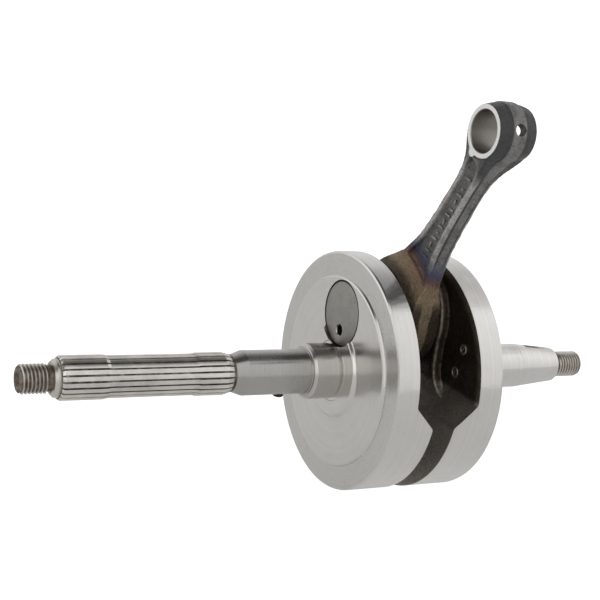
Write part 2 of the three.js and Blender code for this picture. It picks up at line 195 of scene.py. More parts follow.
open_tent = ramp_node(sky, turns, tent_stops([
    (-60, 0.60), (-10, 0.78), (30, 0.86), (58, 0.90), (64, 0.08),
    (90, 0.09), (104, 0.32), (122, 0.66), (140, 0.76), (170, 0.74),
]))
closed_tent = ramp_node(sky, turns, tent_stops([
    (-60, 0.60), (-10, 0.80), (20, 0.92), (50, 1.04), (85, 0.98), (112, 0.72), (140, 0.80), (170, 0.8),
]))
gap = remap(sky, sideways, 0.50, 0.62)
tent = add_node(sky, "ShaderNodeMix", {"data_type": "RGBA"}, {"Factor": gap})
sky.links.new(open_tent, tent.inputs["A"])
sky.links.new(closed_tent, tent.inputs["B"])
background = sky.nodes["Background"]
side_glow = add_node(sky, "ShaderNodeVectorMath", {"operation": "SCALE"})
sky.links.new([s for s in tent.outputs if s.type == "RGBA"][0], side_glow.inputs[0])
sky.links.new(remap(sky, sideways, -0.35, -0.75, 1.0, 1.3), side_glow.inputs["Scale"])
seen = add_node(sky, "ShaderNodeLightPath").outputs["Is Camera Ray"]
backdrop = add_node(sky, "ShaderNodeMix", {"data_type": "RGBA"}, {"Factor": seen})
sky.links.new(side_glow.outputs[0], backdrop.inputs[6])
backdrop.inputs[7].default_value = (1.2, 1.2, 1.2, 1)
sky.links.new(backdrop.outputs[2], background.inputs["Color"])
background.inputs["Strength"].default_value = 1.0
bpy.context.scene.view_settings.view_transform = "Standard"
print("tent ramps:", len(sky.nodes), "nodes in the sky")

# %% [markdown]
# ## Floor
# A plain pale sheet of paper under the crank. It lies deep enough for the rod to swing straight
# down without touching it, as if the crank were held by its shaft ends on a stand. The camera
# sees the paper a little brighter than the steel does, which keeps the background white without
# washing out the reflections.

# %% Floor
SMALL_END_REACH = 10.1
FLOOR_DEPTH = ROD_LENGTH - THROW + SMALL_END_REACH + 1.0
bpy.ops.mesh.primitive_plane_add(size=80, location=(0, 0, -FLOOR_DEPTH * MM))
floor = bpy.context.active_object
floor.name = "studio_floor"
bpy.ops.object.transform_apply(location=True, rotation=True, scale=True)
paper = bpy.data.materials.new("white_paper")
paper.use_nodes = True
tree = paper.node_tree
tree.nodes.clear()
sheet = add_node(tree, "ShaderNodeBsdfDiffuse", sockets={"Color": (0.88, 0.88, 0.87, 1)})
seen = add_node(tree, "ShaderNodeLightPath").outputs["Is Camera Ray"]
lit = math_node(tree, "MULTIPLY_ADD", seen, 0.65)
lit.node.inputs[2].default_value = 0.04
glow = add_node(tree, "ShaderNodeEmission", sockets={"Strength": lit})
both = add_node(tree, "ShaderNodeAddShader", sockets={0: sheet.outputs[0], 1: glow.outputs[0]})
add_node(tree, "ShaderNodeOutputMaterial", sockets={"Surface": both.outputs[0]})
floor.data.materials.append(paper)
print("floor at", round(-FLOOR_DEPTH, 2), "mm")

# %% [markdown]
# ## The hand tools
# A lathe, a press and a knife make almost everything here. Before each tool everything is let
# go, because an operator works on all that is selected.

# %% Taking a piece in hand
def let_go():
    if bpy.context.mode != "OBJECT":
        bpy.ops.object.mode_set(mode="OBJECT")
    bpy.ops.object.select_all(action="DESELECT")


def take(piece):
    let_go()
    piece.select_set(True)
    bpy.context.view_layer.objects.active = piece


def named(name):
    piece = bpy.context.active_object
    piece.name = name
    bpy.ops.object.transform_apply(location=True, rotation=True, scale=True)
    return piece


def close_up(piece):
    take(piece)
    bpy.ops.object.mode_set(mode="EDIT")
    bpy.ops.mesh.select_all(action="SELECT")
    bpy.ops.mesh.remove_doubles(threshold=0.002 * MM)
    bpy.ops.mesh.normals_make_consistent(inside=False)
    bpy.ops.object.mode_set(mode="OBJECT")
    return piece


print("holding tools ready: let_go, take, named, close_up")

# %% [markdown]
# ### Lathe and block
# Turning starts from a disc that is extruded along the crank and resized at each station. A
# block is a cube given its two corners; it is only ever a blank or a cutter.

# %% Lathe and block
def turn(name, stations, sides=96, height=0.0):
    """A turned bar from (distance along X, radius) stations, its axis at a height over X."""
    let_go()
    at, radius = stations[0]
    bpy.ops.mesh.primitive_circle_add(
        vertices=sides, radius=radius * MM, fill_type="NGON",
        location=(at * MM, 0, height * MM), rotation=(0, math.pi / 2, 0),
    )
    piece = named(name)
    bpy.ops.object.mode_set(mode="EDIT")
    for (last_at, last_radius), (at, radius) in zip(stations, stations[1:]):
        step = ((at - last_at) * MM, 0, 0)
        bpy.ops.mesh.extrude_region_move(TRANSFORM_OT_translate={"value": step})
        ratio = max(radius, 0.0001) / last_radius
        centre = (at * MM, 0, height * MM)
        bpy.ops.transform.resize(value=(1, ratio, ratio), center_override=centre)
    return close_up(piece)


def block(name, low, high):
    let_go()
    centre = [(a + b) / 2 * MM for a, b in zip(low, high)]
    bpy.ops.mesh.primitive_cube_add(size=1, location=centre)
    bpy.context.active_object.scale = [abs(b - a) * MM for a, b in zip(low, high)]
    return named(name)


print("blanks ready: turn, block")

# %% [markdown]
# ### Picking, drawing out and cutting
# Faces are picked by where they are and where they look. Picked faces are drawn out like hot
# bar, and cutting is a Boolean modifier, applied at once. Softening is the clay stage of a
# forging: the whole shape gets one even skin and its corners are rubbed round.

# %% Picking, drawing out and cutting
def pick_faces(piece, test):
    """Selects the faces whose centre, in millimetres, and normal pass the test, in edit mode."""
    take(piece)
    bpy.ops.object.mode_set(mode="EDIT")
    bpy.ops.mesh.select_mode(type="FACE")
    bpy.ops.mesh.select_all(action="DESELECT")
    bpy.ops.object.mode_set(mode="OBJECT")
    for face in piece.data.polygons:
        face.select = test(face.center / MM, face.normal)
    bpy.ops.object.mode_set(mode="EDIT")


def modify(piece, kind, **settings):
    take(piece)
    bpy.ops.object.modifier_add(type=kind)
    modifier = piece.modifiers[-1]
    for setting, value in settings.items():
        setattr(modifier, setting, value)
    bpy.ops.object.modifier_apply(modifier=modifier.name)
    return piece


def draw_out(stations):
    """Extrudes the picked faces along Z through (height, half width, half depth) stations."""
    for last, here in zip(stations, stations[1:]):
        step = (0, 0, (here[0] - last[0]) * MM)
        bpy.ops.mesh.extrude_region_move(TRANSFORM_OT_translate={"value": step})
        growth = (here[2] / last[2], here[1] / last[1], 1)
        bpy.ops.transform.resize(value=growth, center_override=(0, 0, here[0] * MM))


def even(stations):
    """Stations whose depth doesn't change."""
    return [(height, half_width, 1.0) for height, half_width in stations]


def combine(piece, tool, operation="DIFFERENCE"):
    modify(piece, "BOOLEAN", operation=operation, solver="EXACT", object=tool)
    bpy.data.objects.remove(tool)
    return piece


def soften(piece, grain, passes):
    """Clay stage of a forging: one even skin, then every corner rubbed round."""
    modify(piece, "REMESH", mode="VOXEL", voxel_size=grain * MM)
    return modify(piece, "SMOOTH", factor=0.5, iterations=passes)


print("shaping tools ready: pick_faces, modify, draw_out, even, combine, soften")

# %% [markdown]
# ### Shading and dressing
# A finished shape is shaded smooth except at its corners, and its faces are then given their
# finishes by place, as a painter masks one area after another.

# %% Shading and dressing
def shade(piece, degrees=30.0):
    take(piece)
    bpy.ops.object.shade_smooth_by_angle(angle=math.radians(degrees))
    return piece


def dress(piece, finishes):
    """Gives a piece its finishes: (material, test of face centre and normal), the last that fits."""
    piece.data.materials.clear()
    for material, _ in finishes:
        piece.data.materials.append(material)
    for face in piece.data.polygons:
        centre = face.center / MM
        for index, (_, test) in enumerate(finishes):
            if test(centre, face.normal):
                face.material_index = index


print("dressing tools ready: shade, dress")

# %% [markdown]
# ## Effects that several finishes share
# Each effect is a node group with named sockets: it takes a place on the piece, in millimetres,
# and gives back masks, heights or colours. The shader itself stays in the finish, so that each
# finish still reads as one plain recipe.

# %% Group helper
def new_group(name, inputs, outputs):
    group = bpy.data.node_groups.new(name, "ShaderNodeTree")
    for label, kind, default in inputs:
        socket = group.interface.new_socket(name=label, in_out="INPUT", socket_type=kind)
        if default is not None:
            socket.default_value = default
    for label, kind in outputs:
        group.interface.new_socket(name=label, in_out="OUTPUT", socket_type=kind)
    entry = group.nodes.new("NodeGroupInput")
    leave = group.nodes.new("NodeGroupOutput")
    return group, entry.outputs, leave.inputs


def noise(tree, place, size, detail=3.0, roughness=0.55):
    scaled = add_node(tree, "ShaderNodeVectorMath", {"operation": "SCALE"}, {0: place})
    scaled.inputs["Scale"].default_value = 1.0 / size
    where = scaled.outputs[0]
    sockets = {"Vector": where, "Scale": 1.0, "Detail": detail, "Roughness": roughness}
    return add_node(tree, "ShaderNodeTexNoise", None, sockets).outputs["Fac"]


def off_axis(tree, place):
    """Distance from the crank axis, in millimetres, and the place's own coordinates."""
    apart = add_node(tree, "ShaderNodeSeparateXYZ", sockets={0: place}).outputs
    flat = add_node(tree, "ShaderNodeCombineXYZ", sockets={"Y": apart["Y"], "Z": apart["Z"]})
    length = {"operation": "LENGTH"}
    radius = add_node(tree, "ShaderNodeVectorMath", length, {0: flat.outputs[0]}).outputs["Value"]
    return radius, apart


FLOAT, VECTOR = "NodeSocketFloat", "NodeSocketVector"
print("socket kinds:", FLOAT, VECTOR)

# %% [markdown]
# ### Turning marks
# A lathe tool leaves rings: lines that keep one radius on a face and one distance along on a
# shaft. The sum of the two numbers changes across both kinds of ring and along neither, so one
# noise along that sum draws the marks on faces, chamfers and journals alike.

# %% Turning marks
group, given, result = new_group(
    "turning_marks",
    [("Place", VECTOR, None), ("Lines per mm", FLOAT, 6.0)],
    [("Height", FLOAT), ("Shade", FLOAT)],
)
radius, apart = off_axis(group, given["Place"])
ring = math_node(group, "ADD", radius, apart["X"])
for label, share, detail in (("Height", 1.0, 4.0), ("Shade", 0.16, 3.0)):
    along = math_node(group, "MULTIPLY", ring, given["Lines per mm"])
    slower = math_node(group, "MULTIPLY", along, share)
    sockets = {"W": slower, "Scale": 1.0, "Detail": detail}
    lines = add_node(group, "ShaderNodeTexNoise", {"noise_dimensions": "1D"}, sockets)
    group.links.new(lines.outputs["Fac"], result[label])
turning_marks = group
print("turning marks:", len(group.nodes), "nodes")

# %% [markdown]
# ### Handling marks, forged skin and worn and highlit corners
# Oil and fingers leave soft cloudy patches. A forging has a skin of small hammered dents with
# pits and flecks of scale in it, and the pits get painted shade. Corners that were rubbed show the
# metal under the skin, and the same mask paints a highlight on the ridges: the pointiness of the
# surface finds them, and a noise breaks them up.

# %% Handling marks
group, given, result = new_group(
    "handling_marks", [("Place", VECTOR, None)], [("Clouds", FLOAT), ("Specks", FLOAT)])
clouds = noise(group, given["Place"], 9.0, 4.0, 0.6)
specks = noise(group, given["Place"], 0.9, 2.0, 0.5)
group.links.new(remap(group, clouds, 0.35, 0.7), result["Clouds"])
group.links.new(remap(group, specks, 0.66, 0.74), result["Specks"])
handling_marks = group
print("handling marks:", len(group.nodes), "nodes")

# %% Forged skin
group, given, result = new_group(
    "forged_skin", [("Place", VECTOR, None)], [("Height", FLOAT), ("Pit shade", FLOAT), ("Scale", FLOAT)])
dents = noise(group, given["Place"], 1.7, 3.0, 0.6)
grit = noise(group, given["Place"], 0.45, 3.0, 0.65)
flecks = noise(group, given["Place"], 4.5, 5.0, 0.7)
rough = math_node(group, "MULTIPLY_ADD", grit, 0.6)
group.links.new(dents, rough.node.inputs[2])
group.links.new(rough, result["Height"])
# pit shade: the valleys of the grit, which the finishes paint dark as painted shade
group.links.new(remap(group, grit, 0.46, 0.34), result["Pit shade"])
group.links.new(remap(group, flecks, 0.42, 0.66), result["Scale"])
forged_skin = group
print("forged skin:", len(group.nodes), "nodes")

# %% Worn and highlit corners
group, given, result = new_group(
    "worn_and_highlit_corners",
    [("Place", VECTOR, None), ("Low", FLOAT, 0.52), ("High", FLOAT, 0.58)],
    [("Wear and highlight", FLOAT)],
)
sharpness = add_node(group, "ShaderNodeNewGeometry").outputs["Pointiness"]
wear_and_highlight = remap(group, sharpness, given["Low"], given["High"])
patchy = remap(group, noise(group, given["Place"], 1.6, 3.0), 0.3, 0.6, 0.35, 1.0)
group.links.new(math_node(group, "MULTIPLY", wear_and_highlight, patchy), result["Wear and highlight"])
worn_and_highlit_corners = group
print("worn corners:", len(group.nodes), "nodes")

# %% [markdown]
# ### Painted shade in grooves
# Light reaches the foot of a spline or a thread least, so shade is painted there. On a shaft
# the foot is simply nearer to the axis, so the distance from the axis draws the painted shade, and a
# noise keeps it uneven.

# %% Painted shade in grooves
group, given, result = new_group(
    "groove_foot_shade",
    [("Place", VECTOR, None), ("Foot radius", FLOAT, 6.7), ("Unshaded radius", FLOAT, 7.1)],
    [("Painted shade", FLOAT)],
)
radius, _ = off_axis(group, given["Place"])
# painted shade: darker towards the foot of the groove
deep = remap(group, radius, given["Unshaded radius"], given["Foot radius"])
uneven = remap(group, noise(group, given["Place"], 2.5, 3.0), 0.25, 0.6, 0.55, 1.0)
group.links.new(math_node(group, "MULTIPLY", deep, uneven), result["Painted shade"])
groove_foot_shade = group
print("shared effects:", len(bpy.data.node_groups))

# %% [markdown]
# ## Finishes
# All of them read Object coordinates turned into millimetres by one Mapping node. On the rod the
# same node also turns the pattern upright with the rod. Every value that is the same all over is
# typed into the shader's own socket.

# %% Finish helper
def new_finish(name, metallic, anisotropy=0.0, place_rotation=0.0, place_height=0.0):
    material = bpy.data.materials.new(name)
    material.use_nodes = True
    tree = material.node_tree
    shader = tree.nodes["Principled BSDF"]
    shader.inputs["Metallic"].default_value = metallic
    shader.inputs["Anisotropic"].default_value = anisotropy
    if anisotropy:
        round_axis = add_node(tree, "ShaderNodeTangent", {"direction_type": "RADIAL", "axis": "X"})
        tree.links.new(round_axis.outputs[0], shader.inputs["Tangent"])
        shader.inputs["Anisotropic Rotation"].default_value = 0.25
    here = add_node(tree, "ShaderNodeTexCoord").outputs["Object"]
    place = add_node(tree, "ShaderNodeMapping", {"vector_type": "TEXTURE"}, {
        "Vector": here,
        "Location": (0, 0, place_height * MM),
        "Rotation": (place_rotation, 0, 0),
        "Scale": (MM, MM, MM),
    }).outputs[0]
    return material, tree, shader, place


def place_group(tree, group, sockets):
    node = add_node(tree, "ShaderNodeGroup", {"node_tree": group})
    for name, value in sockets.items():
        if isinstance(value, bpy.types.NodeSocket):
            tree.links.new(value, node.inputs[name])
        else:
            node.inputs[name].default_value = value
    return node.outputs


def blend_colours(tree, factor, first, second):
    node = add_node(tree, "ShaderNodeMix", {"data_type": "RGBA"}, {"Factor": factor})
    for value, socket in ((first, node.inputs[6]), (second, node.inputs[7])):
        if isinstance(value, bpy.types.NodeSocket):
            tree.links.new(value, socket)
        else:
            socket.default_value = (*value, 1.0)
    return node.outputs[2]


def bump(tree, shader, height, depth_mm):
    sockets = {"Height": height, "Distance": depth_mm * MM, "Strength": 1.0}
    relief = add_node(tree, "ShaderNodeBump", None, sockets)
    tree.links.new(relief.outputs[0], shader.inputs["Normal"])


print("finish helpers ready: new_finish, place_group, blend_colours, bump")

# %% [markdown]
# ### Turned, ground and rolled steel
# Rings stretch a reflection across themselves, so these finishes are anisotropic about the crank
# axis. The webs are bright and finely turned; the splined shaft was hardened and is greyer.

# %% Turned steel
def turned_finish(name, colour, dark_colour, roughness, lines, anisotropy, depth):
    material, tree, shader, place = new_finish(name, 1.0, anisotropy)
    marks = place_group(tree, turning_marks, {"Place": place, "Lines per mm": lines})
    hands = place_group(tree, handling_marks, {"Place": place})
    streak = remap(tree, marks["Shade"], 0.3, 0.7, 0.0, 0.35)
    cloudy = math_node(tree, "MULTIPLY_ADD", hands["Clouds"], 0.25)
    tree.links.new(streak, cloudy.node.inputs[2])
    tree.links.new(blend_colours(tree, cloudy, colour, dark_colour), shader.inputs["Base Color"])
    smear = math_node(tree, "MULTIPLY_ADD", hands["Clouds"], 0.05)
    smear.node.inputs[2].default_value = roughness
    fine = math_node(tree, "MULTIPLY_ADD", marks["Shade"], 0.08)
    tree.links.new(smear, fine.node.inputs[2])
    tree.links.new(fine, shader.inputs["Roughness"])
    bump(tree, shader, marks["Height"], depth)
    return material


turned_steel = turned_finish(
    "turned_steel", (0.76, 0.745, 0.72), (0.65, 0.635, 0.61), 0.14, 5.0, 0.5, 0.0012)
rim_ring_steel = turned_finish(
    "rim_ring_steel", (0.70, 0.685, 0.66), (0.60, 0.585, 0.56), 0.2, 4.0, 0.5, 0.0015)
seat_steel = turned_finish(
    "seat_steel", (0.60, 0.585, 0.56), (0.50, 0.485, 0.46), 0.18, 7.0, 0.5, 0.001)
ground_steel = turned_finish(
    "ground_steel", (0.47, 0.46, 0.44), (0.39, 0.38, 0.36), 0.18, 9.0, 0.5, 0.001)
bore_steel = turned_finish(
    "bore_steel", (0.34, 0.32, 0.30), (0.25, 0.235, 0.215), 0.28, 7.0, 0.5, 0.004)
print("turned steel:", len(turned_steel.node_tree.nodes), "nodes")

# %% [markdown]
# ### The crankpin's end
# The end of the pin was ground flat after pressing. It is duller than the turned faces, with
# short streaks across it and a few dark specks, so a stretched noise draws it and not rings.

# %% Pin end
material, tree, shader, place = new_finish("pin_end_steel", 1.0)
hands = place_group(tree, handling_marks, {"Place": place})
grind = add_node(tree, "ShaderNodeVectorMath", {"operation": "MULTIPLY"}, {0: place, 1: (1, 7.0, 0.4)})
streaks = noise(tree, grind.outputs[0], 2.0, 3.0)
patch = math_node(tree, "MULTIPLY_ADD", streaks, 0.5)
tree.links.new(math_node(tree, "MULTIPLY", hands["Clouds"], 0.5), patch.node.inputs[2])
tint = blend_colours(tree, patch, (0.40, 0.385, 0.36), (0.28, 0.27, 0.25))
tint = blend_colours(tree, hands["Specks"], tint, (0.12, 0.11, 0.10))
tree.links.new(tint, shader.inputs["Base Color"])
tree.links.new(remap(tree, streaks, 0.3, 0.7, 0.40, 0.5), shader.inputs["Roughness"])
bump(tree, shader, streaks, 0.004)
pin_end_steel = material
print("pin end:", len(tree.nodes), "nodes")

# %% [markdown]
# ### Splined and threaded steel
# The spline is cut and the threads are rolled, so both are bright on their crowns and get painted
# shade in their grooves. One recipe with two radii serves for both.

# %% Splined and threaded steel
def grooved_finish(name, colour, groove_shade_colour, foot, unshaded_radius, roughness):
    material, tree, shader, place = new_finish(name, 1.0)
    sockets = {"Place": place, "Foot radius": foot, "Unshaded radius": unshaded_radius}
    groove_shade = place_group(tree, groove_foot_shade, sockets)
    hands = place_group(tree, handling_marks, {"Place": place})
    tarnish = [0.78 * value for value in colour]
    unshaded_metal = blend_colours(tree, hands["Clouds"], colour, tarnish)
    # painted shade: the metal is painted darker towards the foot of each groove
    shaded_metal = blend_colours(tree, groove_shade["Painted shade"], unshaded_metal, groove_shade_colour)
    tree.links.new(shaded_metal, shader.inputs["Base Color"])
    tree.links.new(remap(tree, groove_shade["Painted shade"], 0.0, 1.0, roughness, 0.6), shader.inputs["Roughness"])
    multiply = {"operation": "MULTIPLY"}
    stretched = add_node(tree, "ShaderNodeVectorMath", multiply, {0: place, 1: (0.15, 3, 3)})
    bump(tree, shader, noise(tree, stretched.outputs[0], 1.0, 3.0), 0.006)
    return material


splined_steel = grooved_finish(
    "splined_steel", (0.78, 0.755, 0.71), (0.09, 0.08, 0.07), 6.72, 6.98, 0.26)
rolled_steel = grooved_finish(
    "rolled_steel", (0.68, 0.645, 0.60), (0.17, 0.135, 0.105), 4.30, 4.75, 0.3)
print("splined steel:", len(splined_steel.node_tree.nodes), "nodes")

# %% [markdown]
# ### Forged skins
# The slot keeps a brown-black scale with a slight gloss, and low down, on the counterweight's
# slope, it is painted lighter grey as painted light. The rod is a little lighter, a dark
# gunmetal, and its big end was hardened by induction: away from the heat the steel shows straw,
# then purple, then blue, as it does on any tempered part. The colours follow the distance along
# the rod from the crankpin, with a noise so that the bands don't look painted. The rails of the
# beam and the tops of its raised marks are the proudest places, so they are rubbed lighter and
# carry a painted highlight, and the drafted flanks between the rails and the trimmed band are
# smooth and painted dark as shade. On both skins the pits get painted shade.

# %% Slot skin
material, tree, shader, place = new_finish("slot_skin_and_bore_shade", 0.85)
skin = place_group(tree, forged_skin, {"Place": place})
wear_and_highlight = place_group(tree, worn_and_highlit_corners, {"Place": place, "Low": 0.505, "High": 0.55})
skin_tint_and_lit_slope = blend_colours(tree, skin["Scale"], (0.075, 0.056, 0.041), (0.036, 0.029, 0.023))
height = add_node(tree, "ShaderNodeSeparateXYZ", sockets={0: place}).outputs["Z"]
# painted light: below 3.6 mm the slot, with the counterweight's slope, is painted a lighter grey where
# light falls on it
skin_tint_and_lit_slope = blend_colours(tree, remap(tree, height, 3.6, 1.4), skin_tint_and_lit_slope, (0.34, 0.31, 0.28))
# painted shade in the pits of the skin
skin_tint_and_lit_slope = blend_colours(tree, skin["Pit shade"], skin_tint_and_lit_slope, (0.02, 0.017, 0.014))
# rubbed corners, lighter, together with a painted highlight along the ridges of the pad
skin_tint_and_lit_slope = blend_colours(tree, wear_and_highlight["Wear and highlight"], skin_tint_and_lit_slope, (0.36, 0.31, 0.26))
tree.links.new(skin_tint_and_lit_slope, shader.inputs["Base Color"])
tree.links.new(remap(tree, skin["Scale"], 0.0, 1.0, 0.28, 0.42), shader.inputs["Roughness"])
bump(tree, shader, skin["Height"], 0.3)
slot_skin_and_bore_shade = material
print("slot skin:", len(tree.nodes), "nodes")

# %% Rod skin
material, tree, shader, place = new_finish(
    "rod_skin", 0.6, place_rotation=ROD_LEAN, place_height=THROW)
skin = place_group(tree, forged_skin, {"Place": place})
apart = add_node(tree, "ShaderNodeSeparateXYZ", sockets={0: place}).outputs
proud = math_node(tree, "ABSOLUTE", apart["X"])
rubbed_and_lit_rails = math_node(tree, "MULTIPLY", remap(tree, proud, 2.05, 2.65), remap(tree, apart["Z"], 74.0, 66.0))
patchy = math_node(tree, "MULTIPLY", rubbed_and_lit_rails, remap(tree, skin["Scale"], 1.0, 0.0, 0.6, 1.0))
lateral = math_node(tree, "ABSOLUTE", apart["Y"])
flank = math_node(tree, "MAXIMUM", remap(tree, lateral, 4.0, 4.6), remap(tree, apart["Z"], 76.0, 79.0))
band_edge = math_node(tree, "SUBTRACT", proud, remap(tree, apart["Z"], 68.0, 80.0, 1.35, 2.4))
drafted_flank_shade = math_node(tree, "MULTIPLY", flank, remap(tree, band_edge, -0.1, 0.3))
cold = blend_colours(tree, skin["Scale"], (0.25, 0.245, 0.24), (0.155, 0.152, 0.148))
# painted shade: the drafted flanks beside the rails are painted dark, as their tilt turns them from the
# light
cold = blend_colours(tree, drafted_flank_shade, cold, (0.075, 0.075, 0.077))
# the rails and the tops of the raised marks: rubbed lighter, and a painted highlight
cold = blend_colours(tree, patchy, cold, (0.52, 0.505, 0.49))
# painted shade in the pits of the skin
cold = blend_colours(tree, skin["Pit shade"], cold, (0.035, 0.033, 0.031))
wander = math_node(tree, "MULTIPLY_ADD", noise(tree, place, 3.5, 4.0, 0.65), 6.0)
tree.links.new(apart["Z"], wander.node.inputs[2])
along = math_node(tree, "DIVIDE", wander, 50.0)
heat_colour = ramp_node(tree, along, [
    (0.30, (0.25, 0.195, 0.125)),
    (0.46, (0.33, 0.255, 0.165)),
    (0.545, (0.29, 0.20, 0.13)),
    (0.585, (0.17, 0.10, 0.10)),
    (0.62, (0.085, 0.085, 0.15)),
    (0.67, (0.12, 0.135, 0.175)),
    (0.76, (0.15, 0.15, 0.155)),
])
heated = remap(tree, along, 0.80, 0.64)
beside_rib = math_node(
    tree, "MULTIPLY", remap(tree, proud, 2.0, 2.6), remap(tree, apart["Z"], 20.0, 15.5))
beside_rib = math_node(tree, "MAXIMUM", beside_rib, remap(tree, proud, 4.9, 6.6, 0.0, 0.85))
burnt = blend_colours(tree, beside_rib, heat_colour, (0.075, 0.055, 0.038))
# painted shade in the pits of the skin
burnt = blend_colours(tree, skin["Pit shade"], burnt, (0.05, 0.038, 0.028))
tree.links.new(blend_colours(tree, heated, cold, burnt), shader.inputs["Base Color"])
tree.links.new(remap(tree, skin["Scale"], 0.0, 1.0, 0.30, 0.46), shader.inputs["Roughness"])
bump(tree, shader, skin["Height"], 0.6)
rod_skin = material
print("rod skin:", len(tree.nodes), "nodes")

# %% [markdown]
# ### Milled ring, black pin, cage and needles
# Four plain metals, each with two close tones in soft clouds and a few specks. They differ in
# colour, in gloss and in the size of their clouds.

# %% Milled ring, black pin, cage and needles
def plain_metal(name, colour, second, size, roughness, depth, metallic=1.0):
    material, tree, shader, place = new_finish(name, metallic)
    hands = place_group(tree, handling_marks, {"Place": place})
    cloud = noise(tree, place, size, 4.0)
    tint = blend_colours(tree, remap(tree, cloud, 0.35, 0.65), colour, second)
    dark = [0.6 * value for value in second]
    tree.links.new(blend_colours(tree, hands["Specks"], tint, dark), shader.inputs["Base Color"])
    tree.links.new(remap(tree, cloud, 0.3, 0.7, roughness, roughness + 0.1), shader.inputs["Roughness"])
    bump(tree, shader, cloud, depth)
    return material


milled_ring = plain_metal("milled_ring", (1.0, 0.985, 0.96), (0.95, 0.93, 0.90), 1.2, 0.25, 0.002)
# black steel: the dowel's own black oxide, and painted shade on the crankpin's end chamfers
black_steel = plain_metal("black_steel", (0.05, 0.042, 0.032), (0.028, 0.024, 0.02), 1.0, 0.35, 0.01, 0.8)
cage_steel = plain_metal("cage_steel", (0.62, 0.60, 0.55), (0.52, 0.49, 0.44), 2.0, 0.3, 0.004)
needle_steel = plain_metal("needle_steel", (0.70, 0.70, 0.71), (0.62, 0.62, 0.64), 3.0, 0.12, 0.002)
print("finishes:", len(bpy.data.materials))

# %% [markdown]
# ## Turned outsides of the two crank halves
# Each half is one forging. Everything outside the slot is turned on a lathe, so it is drawn as
# one turned bar from the slot out to the shaft's end: rim, dished face, bearing boss and seat,
# then the journals. Small steps between stations become the chamfers and undercuts of the real
# bar, and they are what catches the light.

# %% Web stations
RIM_FACE = 21.7
DISC_FACE = 22.7
BOSS_FACE = 23.7
SEAT_RADIUS = 10.0
LEFT_SEAT_END = 35.0
RIGHT_SEAT_END = 38.5
JOURNAL_RADIUS = 8.0
THREAD_RADIUS = 5.0
START_BEHIND = 0.8


def web_stations(slot):
    return [
        (slot - START_BEHIND, WEB_RADIUS),
        (RIM_FACE - 0.9, WEB_RADIUS),
        (RIM_FACE - 0.25, WEB_RADIUS - 0.2),
        (RIM_FACE, WEB_RADIUS - 0.9),
        (RIM_FACE + 0.02, 34.9),
        (DISC_FACE - 0.25, 34.55),
        (DISC_FACE, 34.1),
        (DISC_FACE, 17.6),
        (DISC_FACE + 0.15, 17.2),
        (BOSS_FACE - 0.15, 16.35),
        (BOSS_FACE, 16.0),
        (BOSS_FACE, 11.2),
        (BOSS_FACE - 0.35, 10.9),
        (BOSS_FACE - 0.35, SEAT_RADIUS - 0.15),
        (BOSS_FACE + 1.1, SEAT_RADIUS - 0.15),
        (BOSS_FACE + 1.4, SEAT_RADIUS),
    ]


def thread_end_stations(shoulder, end):
    return [
        (shoulder, THREAD_RADIUS - 0.75),
        (shoulder + 1.2, THREAD_RADIUS - 0.75),
        (shoulder + 1.9, THREAD_RADIUS),
        (end - 0.9, THREAD_RADIUS),
        (end - 0.1, THREAD_RADIUS - 0.75),
        (end, THREAD_RADIUS - 0.9),
        (end, 2.85),
        (end - 0.25, 2.6),
        (end - 2.3, 1.0),
        (end - 4.2, 1.0),
        (end - 4.8, 0.0),
    ]


print("web stations:", len(web_stations(LEFT_SLOT)))

# %% Splined shaft stations
JOURNAL_END = 60.1
SPLINE_START = 63.9
SPLINE_RADIUS = 7.5
SPLINE_END = 125.2
COLLAR_END = 128.0

splined_shaft = [
    (LEFT_SEAT_END - 1.0, SEAT_RADIUS),
    (LEFT_SEAT_END - 0.15, SEAT_RADIUS - 0.75),
    (LEFT_SEAT_END, SEAT_RADIUS - 1.1),
    (LEFT_SEAT_END, JOURNAL_RADIUS + 0.25),
    (LEFT_SEAT_END + 0.2, JOURNAL_RADIUS),
    (JOURNAL_END - 0.5, JOURNAL_RADIUS),
    (JOURNAL_END, JOURNAL_RADIUS - 0.12),
    (SPLINE_START - 0.3, 6.6),
    (SPLINE_START, 6.5),
    (SPLINE_START + 0.3, 6.6),
    (SPLINE_START + 3.3, SPLINE_RADIUS - 0.06),
    (SPLINE_START + 3.9, SPLINE_RADIUS),
    (77.3, SPLINE_RADIUS),
    (78.6, SPLINE_RADIUS - 0.33),
    (109.2, SPLINE_RADIUS - 0.33),
    (110.5, SPLINE_RADIUS),
    (SPLINE_END - 0.2, SPLINE_RADIUS),
    (SPLINE_END + 0.2, SPLINE_RADIUS - 0.25),
    (SPLINE_END + 1.0, 6.45),
    (SPLINE_END + 1.1, 6.1),
    (SPLINE_END + 1.45, 6.1),
    (SPLINE_END + 1.55, 6.4),
    (SPLINE_END + 1.8, 6.4),
    (COLLAR_END - 0.1, 5.6),
    *thread_end_stations(COLLAR_END, LEFT_END),
]
print("splined shaft stations:", len(splined_shaft))

# %% Tapered shaft stations
LAND_RADIUS = 8.5
TAPER_START = 58.4
TAPER_END = 77.0
TAPER_SLOPE = 0.1
taper_small = LAND_RADIUS - (TAPER_END - TAPER_START) * TAPER_SLOPE

